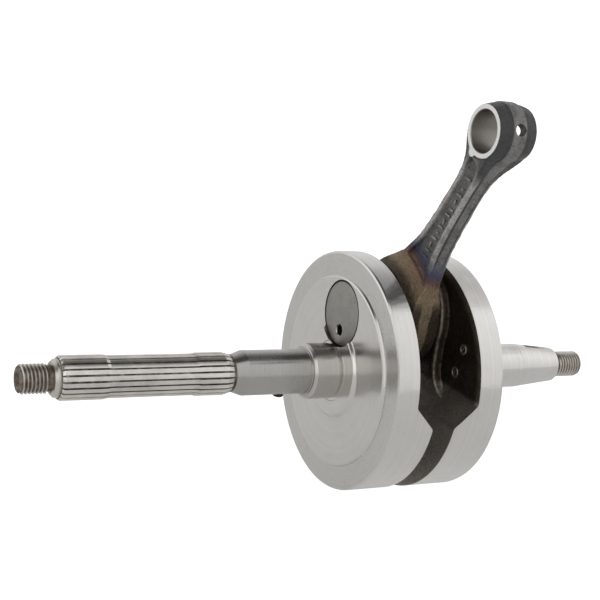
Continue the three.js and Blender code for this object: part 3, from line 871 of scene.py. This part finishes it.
tapered_shaft = [
    (RIGHT_SEAT_END - 1.0, SEAT_RADIUS),
    (RIGHT_SEAT_END - 0.15, SEAT_RADIUS - 0.75),
    (RIGHT_SEAT_END, SEAT_RADIUS - 1.1),
    (RIGHT_SEAT_END, LAND_RADIUS + 0.2),
    (RIGHT_SEAT_END + 0.2, LAND_RADIUS),
    (TAPER_START, LAND_RADIUS),
    (TAPER_END - 0.2, taper_small + 0.02),
    (TAPER_END + 0.2, taper_small - 0.2),
    (TAPER_END + 1.1, taper_small - 1.2),
    *thread_end_stations(TAPER_END + 1.2, RIGHT_END),
]
print("stations:", len(splined_shaft), "left and", len(tapered_shaft), "right")

# %% [markdown]
# ## The slot between the webs
# The insides of the webs are never machined: they keep the black skin and the soft corners of
# the forging. So the hollow is made as a tool of its own. It starts as a turned plug, loses the
# counterweight and the raised pad round the crankpin, and is then remeshed and smoothed, which
# rounds all its corners at once. Cutting with it leaves a forged slot in a sharply turned bar.
# The raised forging marks on the right web are plain rings with a bar across. They are cut out
# of the tool, so that they stand up on the web, and they spell nothing.

# %% Slot tool
FORGE_DRAFT = 0.9
RIM_THICKNESS = {-1: 8.3, 1: 9.7}
SLOT_HALF = {-1: LEFT_SLOT, 1: RIGHT_SLOT}
PAD_RADIUS = 19.0
PAD_FACE = ROD_HALF + 0.3
PAD_FOOT_STATIONS = even([(11.0, 18.5), (7.0, 18.8), (4.0, 19.8), (1.5, 21.6), (-0.3, 24.0), (-2.5, 28.0)])
FORGING_MARKS = {-1: [], 1: [(-30.0, 18.0), (-27.6, 8.6)]}
SLOPE_TOP = 2.8
SLOPE_FOOT = -6.4
PAST = 60.0


def slot_tool(side):
    edge = RIM_FACE - RIM_THICKNESS[side]
    slot = SLOT_HALF[side]
    beyond = WEB_RADIUS + 2.5
    plug = turn("slot_tool", [
        (side * (slot - 2.5), beyond),
        (side * (edge + FORGE_DRAFT), beyond),
        (side * edge, WEB_RADIUS),
        (side * (edge - FORGE_DRAFT * 0.8), WEB_RADIUS - 1.1),
        (side * (edge - FORGE_DRAFT), WEB_RADIUS - 2.4),
        (side * (edge - FORGE_DRAFT), 0.0),
    ])
    weight = block("weight", (side * slot, -PAST, -PAST), (side * 20, PAST, SLOPE_TOP))
    take(weight)
    bpy.ops.object.mode_set(mode="EDIT")
    bpy.ops.mesh.select_all(action="SELECT")
    run, drop = edge - slot, SLOPE_TOP - SLOPE_FOOT
    bpy.ops.mesh.bisect(
        plane_co=(side * slot * MM, 0, SLOPE_FOOT * MM), plane_no=(-side * drop, 0, run),
        use_fill=True, clear_outer=True,
    )
    bpy.ops.object.mode_set(mode="OBJECT")
    combine(plug, weight)
    pad = turn("pad", [(side * PAD_FACE, PAD_RADIUS), (side * 20, PAD_RADIUS)], height=THROW)
    combine(plug, pad)
    top, half_width, _ = PAD_FOOT_STATIONS[0]
    foot = block("pad_foot", (side * PAD_FACE, -half_width, top), (side * 20, half_width, 17.6))
    pick_faces(foot, lambda centre, normal: normal.z < -0.9)
    draw_out(PAD_FOOT_STATIONS)
    close_up(foot)
    combine(plug, foot)
    soften(plug, 0.55, 5)
    for across, height in FORGING_MARKS[side]:
        let_go()
        spot = (side * (edge - FORGE_DRAFT) * MM, across * MM, height * MM)
        bpy.ops.mesh.primitive_torus_add(
            major_radius=1.55 * MM, minor_radius=0.34 * MM, major_segments=32, minor_segments=8,
            location=spot, rotation=(0, math.pi / 2, 0))
        combine(plug, named("mark_ring"))
        let_go()
        bpy.ops.mesh.primitive_cube_add(size=1, location=spot, rotation=(0.4, 0, 0))
        bpy.context.active_object.scale = (0.55 * MM, 0.5 * MM, 1.7 * MM)
        combine(plug, modify(named("mark_bar"), "BEVEL", width=0.15 * MM, segments=2))
    return plug


print("rims:", RIM_THICKNESS[-1], "mm left and", RIM_THICKNESS[1], "mm right")

# %% [markdown]
# ## Splines and threads
# Twenty-two grooves make the spline. One groove is a bar with a narrow foot, and Spin copies it
# round the shaft. A thread is one groove too: a small trapezoid that the Screw modifier winds
# round the axis in sixty steps a turn, with its open ends filled afterwards.

# %% Spline tool
SPLINE_TEETH = 22
SPLINE_ROOT = 6.72
GROOVE_HALF = 0.5


def spline_tool():
    low = (-SPLINE_END - 1.7, -GROOVE_HALF, SPLINE_ROOT)
    bar = block("spline_tool", low, (-SPLINE_START + 0.4, GROOVE_HALF, 8.4))
    pick_faces(bar, lambda centre, normal: normal.z < -0.9)
    bpy.ops.transform.resize(value=(1, 0.42, 1), center_override=(0, 0, SPLINE_ROOT * MM))
    bpy.ops.mesh.select_all(action="SELECT")
    bpy.ops.mesh.spin(
        steps=SPLINE_TEETH - 1, dupli=True, angle=math.tau * (SPLINE_TEETH - 1) / SPLINE_TEETH,
        center=(0, 0, 0), axis=(1, 0, 0), use_normal_flip=False,
    )
    bpy.ops.object.mode_set(mode="OBJECT")
    return close_up(bar)


print("spline:", SPLINE_TEETH, "teeth, from radius", SPLINE_ROOT, "to", SPLINE_RADIUS)

# %% Thread tool
PITCH = 1.25
THREAD_DEPTH = 0.72


def thread_tool(start, turns):
    let_go()
    top = THREAD_RADIUS + 0.05
    foot = THREAD_RADIUS - THREAD_DEPTH
    bpy.ops.mesh.primitive_plane_add(
        size=1, location=(start * MM, 0, (top + foot) / 2 * MM), rotation=(math.pi / 2, 0, 0))
    bpy.context.active_object.scale = (1.14 * MM, (top - foot) * MM, 1)
    tool = named("thread_tool")
    bpy.ops.object.mode_set(mode="EDIT")
    bpy.ops.mesh.delete(type="ONLY_FACE")
    bpy.ops.mesh.select_all(action="DESELECT")
    bpy.ops.object.mode_set(mode="OBJECT")
    for vertex in tool.data.vertices:
        vertex.select = vertex.co.z < (foot + 0.1) * MM
    bpy.ops.object.mode_set(mode="EDIT")
    bpy.ops.mesh.select_mode(type="VERT")
    bpy.ops.transform.resize(value=(0.3, 1, 1), center_override=(start * MM, 0, 0))
    bpy.ops.object.mode_set(mode="OBJECT")
    modify(
        tool, "SCREW", axis="X", angle=math.tau, screw_offset=PITCH * MM, iterations=turns,
        steps=60, render_steps=60, use_merge_vertices=False,
    )
    take(tool)
    bpy.ops.object.mode_set(mode="EDIT")
    bpy.ops.mesh.select_all(action="SELECT")
    bpy.ops.mesh.fill_holes(sides=0)
    bpy.ops.object.mode_set(mode="OBJECT")
    return close_up(tool)


print("thread:", 2 * THREAD_RADIUS, "mm by", PITCH)

# %% [markdown]
# ## Cutting the halves
# The turned bar is cut by the slot tool, the crankpin's bore, the spline, the thread, and on the
# left the dowel's hole or on the right the keyway. The bore is a hair wider than the pin, which
# leaves the fine dark ring that shows round a pressed pin; its wall is also given the dark slot
# skin as painted shade.

# %% Left half
BORE_GAP = 0.2
BORE_OVERRUN = 4
DOWEL_AT = -43.7
DOWEL_RADIUS = 2.0


def bore_tool(start, end):
    radius = PIN_RADIUS + BORE_GAP
    return turn("bore_tool", [(start, radius), (end, radius)], 128, THROW)


def mirrored(stations):
    return [(-at, radius) for at, radius in stations]


def held(stations, hold=0.12, shortest=0.6):
    """Adds a station just inside both ends of every long stretch, which keeps its corners crisp."""
    rows = [stations[0]]
    for (last_at, last_radius), (at, radius) in zip(stations, stations[1:]):
        length = math.hypot(at - last_at, radius - last_radius)
        if length > shortest:
            for share in (hold / length, 1 - hold / length):
                row_radius = last_radius + (radius - last_radius) * share
                rows.append((last_at + (at - last_at) * share, row_radius))
        rows.append((at, radius))
    return rows


left_half = turn("left_half", mirrored(held(web_stations(LEFT_SLOT) + splined_shaft)), 160)
combine(left_half, slot_tool(-1))
combine(left_half, bore_tool(-BOSS_FACE - BORE_OVERRUN, 0))
combine(left_half, spline_tool())
combine(left_half, thread_tool(-LEFT_END - 1.0, 10))
let_go()
bpy.ops.mesh.primitive_cylinder_add(
    vertices=32, radius=(DOWEL_RADIUS + 0.06) * MM, depth=8 * MM,
    location=(DOWEL_AT * MM, 0, -(JOURNAL_RADIUS + 1.0) * MM))
combine(left_half, named("dowel_hole"))
print("left half:", len(left_half.data.polygons), "faces")

# %% Right half
KEY_WIDTH = 3.0
KEY_CUTTER = 6.5
KEY_AT = 69.0
KEY_DEPTH = 3.4

right_half = turn("right_half", held(web_stations(RIGHT_SLOT) + tapered_shaft), 160)
combine(right_half, slot_tool(1))
combine(right_half, bore_tool(0, BOSS_FACE + BORE_OVERRUN))
combine(right_half, thread_tool(RIGHT_END + 1.0 - 10 * PITCH, 10))
let_go()
key_height = LAND_RADIUS - (KEY_AT - TAPER_START) * TAPER_SLOPE - KEY_DEPTH + KEY_CUTTER
bpy.ops.mesh.primitive_cylinder_add(
    vertices=64, radius=KEY_CUTTER * MM, depth=KEY_WIDTH * MM,
    location=(KEY_AT * MM, 0, key_height * MM), rotation=(math.pi / 2, 0, 0))
combine(right_half, named("keyway"))
print("right half:", len(right_half.data.polygons), "faces")

# %% [markdown]
# The finishes go on by place: the rims and faces are turned bright, the slot keeps its skin, the
# hardened shaft is greyer, and the spline and threads get painted shade in their grooves.

# %% Dress the halves
def off_pin(centre):
    return math.hypot(centre.y, centre.z - THROW)


def dress_half(half, side, shaft, finishes):
    edge = RIM_FACE - RIM_THICKNESS[side] + FORGE_DRAFT + 0.3

    def in_slot(centre, normal):
        radius = math.hypot(centre.y, centre.z)
        outward = (centre.y * normal.y + centre.z * normal.z) / max(radius, 0.001)
        on_rim = radius > WEB_RADIUS - 0.04 and outward > 0.99
        return abs(centre.x) < edge and not on_rim and off_pin(centre) > PIN_RADIUS + 0.2

    def on_shaft(centre, normal):
        return abs(centre.x) > BOSS_FACE + 0.01 and math.hypot(centre.y, centre.z) < SEAT_RADIUS + 0.1

    def on_seat(centre, normal):
        return on_shaft(centre, normal) and abs(centre.x) < LEFT_SEAT_END

    def on_rim_ring(centre, normal):
        return abs(normal.x) > 0.95 and abs(centre.x) > edge and math.hypot(centre.y, centre.z) > 34.8

    def shaded_bore_wall(centre, normal):
        return off_pin(centre) < PIN_RADIUS + BORE_GAP + 0.05 and abs(normal.x) < 0.1

    basic = [
        (turned_steel, lambda centre, normal: True),
        (slot_skin_and_bore_shade, in_slot),
        (shaft, on_shaft),
        (shaft if side > 0 else seat_steel, on_seat),
        # painted shade: the bore wall round the pin gets the dark slot skin
        (slot_skin_and_bore_shade, shaded_bore_wall),
        (rim_ring_steel, on_rim_ring),
    ]
    dress(half, basic + finishes)
    shade(half)
    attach(half, "crank")


dress_half(left_half, -1, ground_steel, [
    (splined_steel, lambda centre, normal: centre.x < -SPLINE_START),
    (rolled_steel, lambda centre, normal: centre.x < -SPLINE_END - 0.9),
])
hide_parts("left_crank_half")
dress_half(right_half, 1, turned_steel, [
    (rolled_steel, lambda centre, normal: centre.x > TAPER_END + 1.2),
])
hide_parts("right_crank_half")
print("finishes on the left half:", len(left_half.data.materials))

# %% [markdown]
# ## Crankpin and drive dowel
# The crankpin is a plain ground pin with broken edges and one small hole that leads oil in. Its
# broken edges at the ends get the black finish as painted shade of the ring round the pin. The
# dowel is a hardened peg with a domed head that stands out of the journal.

# %% Crankpin
PIN_HOLE_RADIUS = 2.0
PIN_HOLE_OFFSET = 6.3
crankpin = turn("crankpin_ground", [
    (-PIN_END, PIN_RADIUS - 0.55),
    (-PIN_END + 0.12, PIN_RADIUS - 0.25),
    (-PIN_END + 0.5, PIN_RADIUS),
    (PIN_END - 0.5, PIN_RADIUS),
    (PIN_END - 0.12, PIN_RADIUS - 0.25),
    (PIN_END, PIN_RADIUS - 0.55),
], 128, THROW)
combine(crankpin, turn("pin_hole", [
    (-PIN_END - 1, PIN_HOLE_RADIUS + 1.3),
    (-PIN_END + 0.3, PIN_HOLE_RADIUS),
    (PIN_END - 0.3, PIN_HOLE_RADIUS),
    (PIN_END + 1, PIN_HOLE_RADIUS + 1.3),
], 48, THROW - PIN_HOLE_OFFSET))
shade(crankpin)
dress(crankpin, [
    (ground_steel, lambda centre, normal: True),
    (pin_end_steel, lambda centre, normal: abs(normal.x) > 0.9),
    # painted shade: the pin's end chamfers are painted black for the dark ring round the pin
    (black_steel, lambda centre, normal: off_pin(centre) > PIN_RADIUS - 0.54
        and abs(centre.x) > PIN_END - 0.51),
])
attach(crankpin, "crank")
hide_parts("crankpin")
print("crankpin:", len(crankpin.data.polygons), "faces")

# %% Drive dowel
dowel_low, dowel_high = box_mm("drive_dowel")
let_go()
bpy.ops.mesh.primitive_circle_add(
    vertices=40, radius=DOWEL_RADIUS * MM, fill_type="NGON",
    location=(DOWEL_AT * MM, 0, dowel_high[2] * MM))
dowel = named("drive_dowel_peg")
bpy.ops.object.mode_set(mode="EDIT")
last_height, last_radius = dowel_high[2], DOWEL_RADIUS
crown = dowel_low[2]
for above, share in ((1.0, 1.0), (0.62, 0.97), (0.3, 0.86), (0.1, 0.66), (0.0, 0.36)):
    height, radius = crown + above, DOWEL_RADIUS * share
    step = (0, 0, (height - last_height) * MM)
    bpy.ops.mesh.extrude_region_move(TRANSFORM_OT_translate={"value": step})
    ratio = radius / last_radius
    bpy.ops.transform.resize(value=(ratio, ratio, 1), center_override=(DOWEL_AT * MM, 0, height * MM))
    last_height, last_radius = height, radius
close_up(dowel)
shade(dowel, 50)
dress(dowel, [(black_steel, lambda centre, normal: True)])
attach(dowel, "crank")
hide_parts("drive_dowel")
print("dowel:", len(dowel.data.polygons), "faces")

# %% [markdown]
# ## Connecting rod
# A drop forging, so it is made in two stages like the real one. First the blank: a beam whose
# sides lean out to a narrow trimmed band, a saddle that spreads it over the big end, a barrel for
# the small end, and a recess pressed into both faces. They are joined, remeshed and rubbed
# round. Then the machining: bores, oil holes and end faces are cut crisply through the blank.
# It is drawn upright over the crank axis, and leant over and lifted to the crankpin at the end.

# %% Beam blank
BEAM_HALF = 3.25
BAND_SHARE = 0.42
DRAFT = 0.55


BEAM_STATIONS = [
    (16.0, 12.6, BEAM_HALF), (20.0, 11.4, BEAM_HALF), (24.6, 9.8, BEAM_HALF), (28.0, 8.7, BEAM_HALF),
    (32.0, 7.4, BEAM_HALF), (36.0, 6.5, BEAM_HALF), (42.0, 5.9, BEAM_HALF), (50.0, 5.35, BEAM_HALF),
    (58.0, 5.2, BEAM_HALF), (64.0, 5.2, BEAM_HALF), (68.0, 5.35, 3.45), (72.0, 5.8, 4.1),
    (75.0, 6.35, 4.95), (78.0, 7.15, 6.0), (81.0, 7.9, 6.9), (84.0, 8.3, 7.3),
]
print("beam stations:", len(BEAM_STATIONS))


def beam_blank():
    along, half_width, half_depth = BEAM_STATIONS[0]
    low = (-half_depth, -half_width + DRAFT, along - 2.0)
    high = (half_depth, half_width - DRAFT, along)
    beam = block("beam", low, high)
    for side in (-1, 1):
        pick_faces(beam, lambda centre, normal: normal.y * side > 0.9)
        bpy.ops.mesh.extrude_region_move(TRANSFORM_OT_translate={"value": (0, side * DRAFT * MM, 0)})
        bpy.ops.transform.resize(value=(BAND_SHARE, 1, 1), center_override=(0, 0, 0))
    pick_faces(beam, lambda centre, normal: normal.z > 0.9)
    draw_out(BEAM_STATIONS)
    return close_up(beam)


# %% [markdown]
# The recess gives the beam its I-shape. It is drawn as a tool that narrows towards the small end
# and closes in a rounded tip, so that one Boolean cut on each side leaves two rails.

# %% Recess tool
RECESS_FLOOR = 1.75


RECESS_STATIONS = even([
    (24.0, 8.1), (28.0, 6.9), (32.0, 5.6), (36.0, 4.7), (42.0, 4.1), (50.0, 3.55),
    (58.0, 3.4), (66.0, 3.4), (71.0, 3.6), (73.5, 3.0), (75.0, 1.8),
])
print("recess stations:", len(RECESS_STATIONS))


def recess_tool(side):
    along, half_width, _ = RECESS_STATIONS[0]
    low = (side * RECESS_FLOOR, -half_width, along - 2.0)
    high = (side * 9.0, half_width, along)
    tool = block("recess", low, high)
    pick_faces(tool, lambda centre, normal: normal.x * side < -0.9)
    foot = (side * RECESS_FLOOR * MM, 0, along * MM)
    bpy.ops.transform.resize(value=(1, 0.88, 1), center_override=foot)
    pick_faces(tool, lambda centre, normal: normal.z > 0.9)
    draw_out(RECESS_STATIONS)
    return close_up(tool)


# %% [markdown]
# The saddle is the lump that carries the beam's load into the ring of the big end. A turned body
# gives its slope towards both faces, and a flared block trims it to the beam's outline. The ring
# itself is turned with a central rib, which stiffens it where the beam doesn't reach.

# %% Saddle over the big end
BIG_BORE = 15.0
BIG_RADIUS = 18.6
BIG_FACE_RADIUS = 18.1
SADDLE_RADIUS = 25.2
RIB_HALF = 2.0
RIB_RISE = 1.1
FLARE_STATIONS = even([
    (9.0, 16.0), (13.0, 14.9), (14.9, 14.2), (17.0, 13.1), (20.0, 11.5), (24.6, 9.7), (28.0, 8.5),
])
print("flare stations:", len(FLARE_STATIONS))


def saddle():
    half = ROD_HALF
    body = turn("saddle", [
        (-half - 0.3, BIG_FACE_RADIUS - 0.3),
        (-half + 0.8, BIG_FACE_RADIUS + 1.2),
        (-half + 1.9, BIG_FACE_RADIUS + 3.6),
        (-BEAM_HALF, SADDLE_RADIUS),
        (BEAM_HALF, SADDLE_RADIUS),
        (half - 1.9, BIG_FACE_RADIUS + 3.6),
        (half - 0.8, BIG_FACE_RADIUS + 1.2),
        (half + 0.3, BIG_FACE_RADIUS - 0.3),
    ], 128)
    along, half_width, _ = FLARE_STATIONS[0]
    flare = block("flare", (-10, -half_width, along - 2), (10, half_width, along))
    pick_faces(flare, lambda centre, normal: normal.z > 0.9)
    draw_out(FLARE_STATIONS)
    close_up(flare)
    return combine(body, flare, "INTERSECT")


def big_end():
    half = ROD_HALF + 0.3
    return turn("big_end", [
        (-half, BIG_FACE_RADIUS),
        (-RIB_HALF - 0.2, BIG_RADIUS),
        (-RIB_HALF, BIG_RADIUS + RIB_RISE),
        (RIB_HALF, BIG_RADIUS + RIB_RISE),
        (RIB_HALF + 0.2, BIG_RADIUS),
        (half, BIG_FACE_RADIUS),
    ], 160)


# %% [markdown]
# The small end is a short barrel round the wrist-pin bore. The two dies leave a raised band round
# its middle where their flash was trimmed, so the band is part of the turned outline.

# %% Small-end barrel
SMALL_BORE = 7.0
SMALL_FACE_RADIUS = 8.75
SMALL_RADIUS = 10.05
BAND_RISE = 0.42


def small_end():
    half = ROD_HALF + 0.3
    band = 2.5
    return turn("small_end", [
        (-half, SMALL_FACE_RADIUS - 0.05),
        (-half + 1.6, SMALL_FACE_RADIUS + 0.35),
        (-half * 0.55, SMALL_RADIUS - 0.55),
        (-band, SMALL_RADIUS - BAND_RISE),
        (-band + 0.15, SMALL_RADIUS),
        (band - 0.15, SMALL_RADIUS),
        (band, SMALL_RADIUS - BAND_RISE),
        (half * 0.55, SMALL_RADIUS - 0.55),
        (half - 1.6, SMALL_FACE_RADIUS + 0.35),
        (half, SMALL_FACE_RADIUS - 0.05),
    ], 96, ROD_LENGTH)


print("small end: radius", SMALL_RADIUS, "over a bore of radius", SMALL_BORE)

# %% [markdown]
# The parts of the blank are joined while they still overlap, and one remesh turns them into a
# single skin. A small tab at the foot of the barrel goes in with them.

# %% Forge the blank
rod = beam_blank()
for side in (-1, 1):
    combine(rod, recess_tool(side))
tab = turn("tab", [(-ROD_HALF - 0.3, 1.7), (-ROD_HALF + 2.5, 2.2)], 32, ROD_LENGTH - 8.6)
parts = [saddle(), big_end(), small_end(), tab]
take(rod)
for part in parts:
    part.select_set(True)
bpy.ops.object.join()
soften(rod, 0.36, 3)
rod.name = "rod_forged"
print("rod blank:", len(rod.data.polygons), "faces")

# %% [markdown]
# The machining comes after the rubbing, so its edges stay sharp. The end faces come last: a slab
# of the rod's true width keeps what lies inside it, and the face that is left follows the forged
# outline, as on the real part. Before them a row of raised marks goes on the recess floor, where
# a forging carries its numbers. They are plain strokes and dots that spell nothing.

# %% Machine the rod
combine(rod, turn("big_bore", [(-12, BIG_BORE), (12, BIG_BORE)], 160))
combine(rod, turn("small_bore", [
    (-ROD_HALF - 1, SMALL_BORE + 1.25), (-ROD_HALF + 0.25, SMALL_BORE),
    (ROD_HALF - 0.25, SMALL_BORE), (ROD_HALF + 1, SMALL_BORE + 1.25),
], 96, ROD_LENGTH))
for angle in (-45, 45):
    let_go()
    lean = math.radians(angle)
    reach = 8.5
    spot = (0, -math.sin(lean) * reach * MM, (ROD_LENGTH + math.cos(lean) * reach) * MM)
    bpy.ops.mesh.primitive_cylinder_add(
        vertices=40, radius=2.0 * MM, depth=8 * MM, location=spot, rotation=(lean, 0, 0))
    combine(rod, named("oil_hole"))
print("machined rod:", len(rod.data.polygons), "faces")

# %% Forging marks on the recess floor
MARKS = [
    (30.5, 20, 2.6), (33.2, 20, 2.6), (36.0, -75, 1.6), (39.0, 20, 2.7), (41.6, 20, 1.0),
    (44.4, 20, 2.6), (46.9, -70, 1.7), (50.0, 20, 2.6), (52.6, 20, 2.6), (56.0, -75, 1.5),
    (59.2, 20, 2.6), (61.8, 20, 1.0), (66.5, 20, 2.4),
]
strokes = []
for along, slant, length in MARKS:
    let_go()
    bpy.ops.mesh.primitive_cube_add(
        size=1, location=(-1.75 * MM, 0, along * MM), rotation=(math.radians(90 - slant), 0, 0))
    bpy.context.active_object.scale = (1.4 * MM, 0.75 * MM, 1.15 * length * MM)
    stroke = named("mark")
    modify(stroke, "BEVEL", width=0.18 * MM, segments=2)
    strokes.append(stroke)
take(strokes[0])
for stroke in strokes[1:]:
    stroke.select_set(True)
bpy.ops.object.join()
combine(rod, strokes[0], "UNION")
print("forging marks:", len(MARKS))

# %% [markdown]
# The rod is trimmed to its true width, dressed by place while it is still upright, and only then
# leant over and lifted on to the crankpin.

# %% Trim, dress and place the rod
combine(rod, block("slab", (-ROD_HALF, -60, -60), (ROD_HALF, 60, 130)), "INTERSECT")
shade(rod, 40)


def rod_place(centre):
    return centre.y, centre.z - ROD_LENGTH


dress(rod, [
    (rod_skin, lambda centre, normal: True),
    (milled_ring, lambda centre, normal: abs(normal.x) > 0.98 and abs(centre.x) > ROD_HALF - 0.01),
    (bore_steel, lambda centre, normal: math.hypot(*rod_place(centre)) < SMALL_BORE + 0.3
        and abs(centre.x) < ROD_HALF - 0.01),
    (needle_steel, lambda centre, normal: math.hypot(centre.y, centre.z) < BIG_BORE + 0.02
        and abs(centre.x) < ROD_HALF - 0.01),
])
rod.rotation_euler = (ROD_LEAN, 0, 0)
rod.location = (0, 0, THROW * MM)
take(rod)
bpy.ops.object.transform_apply(location=True, rotation=True, scale=True)
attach(rod, "rod")
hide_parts("connecting_rod")
print("rod:", len(rod.data.polygons), "faces")

# %% [markdown]
# ## Needle bearing
# The cage is a turned ring with sixteen pockets. One pocket block is copied round by Spin. One
# roller is turned with crowned ends, and the other fifteen are copies, each with its own mesh, so
# that each can ride its own moving body.

# %% Cage
ROLLERS = 16
CAGE_RADIUS = (cage_high[1] - cage_low[1]) / 2
CAGE_BORE = 12.3
CAGE_HALF = cage_high[0]
cage = turn("cage_ring", [
    (-CAGE_HALF, CAGE_RADIUS - 0.3),
    (-CAGE_HALF + 0.3, CAGE_RADIUS),
    (-5.8, CAGE_RADIUS),
    (-5.65, CAGE_RADIUS - 0.18),
    (5.65, CAGE_RADIUS - 0.18),
    (5.8, CAGE_RADIUS),
    (CAGE_HALF - 0.3, CAGE_RADIUS),
    (CAGE_HALF, CAGE_RADIUS - 0.3),
], 128, THROW)
combine(cage, turn("cage_bore", [
    (-CAGE_HALF - 1, CAGE_BORE + 1.25), (-CAGE_HALF + 0.25, CAGE_BORE),
    (CAGE_HALF - 0.25, CAGE_BORE), (CAGE_HALF + 1, CAGE_BORE + 1.25),
], 128, THROW))
pocket = block("pocket", (-5.3, -1.7, THROW + 11.0), (5.3, 1.7, THROW + 16.0))
modify(pocket, "BEVEL", width=0.3 * MM, segments=3)
take(pocket)
bpy.ops.object.mode_set(mode="EDIT")
bpy.ops.mesh.select_all(action="SELECT")
bpy.ops.mesh.spin(
    steps=ROLLERS - 1, dupli=True, angle=math.tau * (ROLLERS - 1) / ROLLERS,
    center=(0, 0, THROW * MM), axis=(1, 0, 0), use_normal_flip=False,
)
combine(cage, close_up(pocket))
shade(cage)
dress(cage, [(cage_steel, lambda centre, normal: True)])
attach(cage, "cage")
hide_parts("big_end_cage")
print("cage:", len(cage.data.polygons), "faces")

# %% Rollers
ROLLER_RADIUS = 1.4
ROLLER_HALF = 5.0
PITCH_RADIUS = 13.5
crown = [(ROLLER_HALF, 0.85), (ROLLER_HALF - 0.06, 1.1), (ROLLER_HALF - 0.25, 1.31), (4.4, ROLLER_RADIUS)]
roller = turn("roller_ground", [(-at, radius) for at, radius in crown] + crown[::-1], 40)
shade(roller, 35)
dress(roller, [(needle_steel, lambda centre, normal: True)])
for index in range(ROLLERS):
    take(roller)
    bpy.ops.object.duplicate(linked=False)
    copy = bpy.context.active_object
    copy.name = f"roller_{index + 1:02d}_ground"
    angle = math.tau * index / ROLLERS
    across, height = -PITCH_RADIUS * math.sin(angle), THROW + PITCH_RADIUS * math.cos(angle)
    copy.location = (0, across * MM, height * MM)
    bpy.ops.object.transform_apply(location=True, rotation=False, scale=False)
    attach(copy, f"roller_{index + 1:02d}")
    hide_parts(f"needle_roller_{index + 1:02d}")
bpy.data.objects.remove(roller)
print("rollers:", ROLLERS)
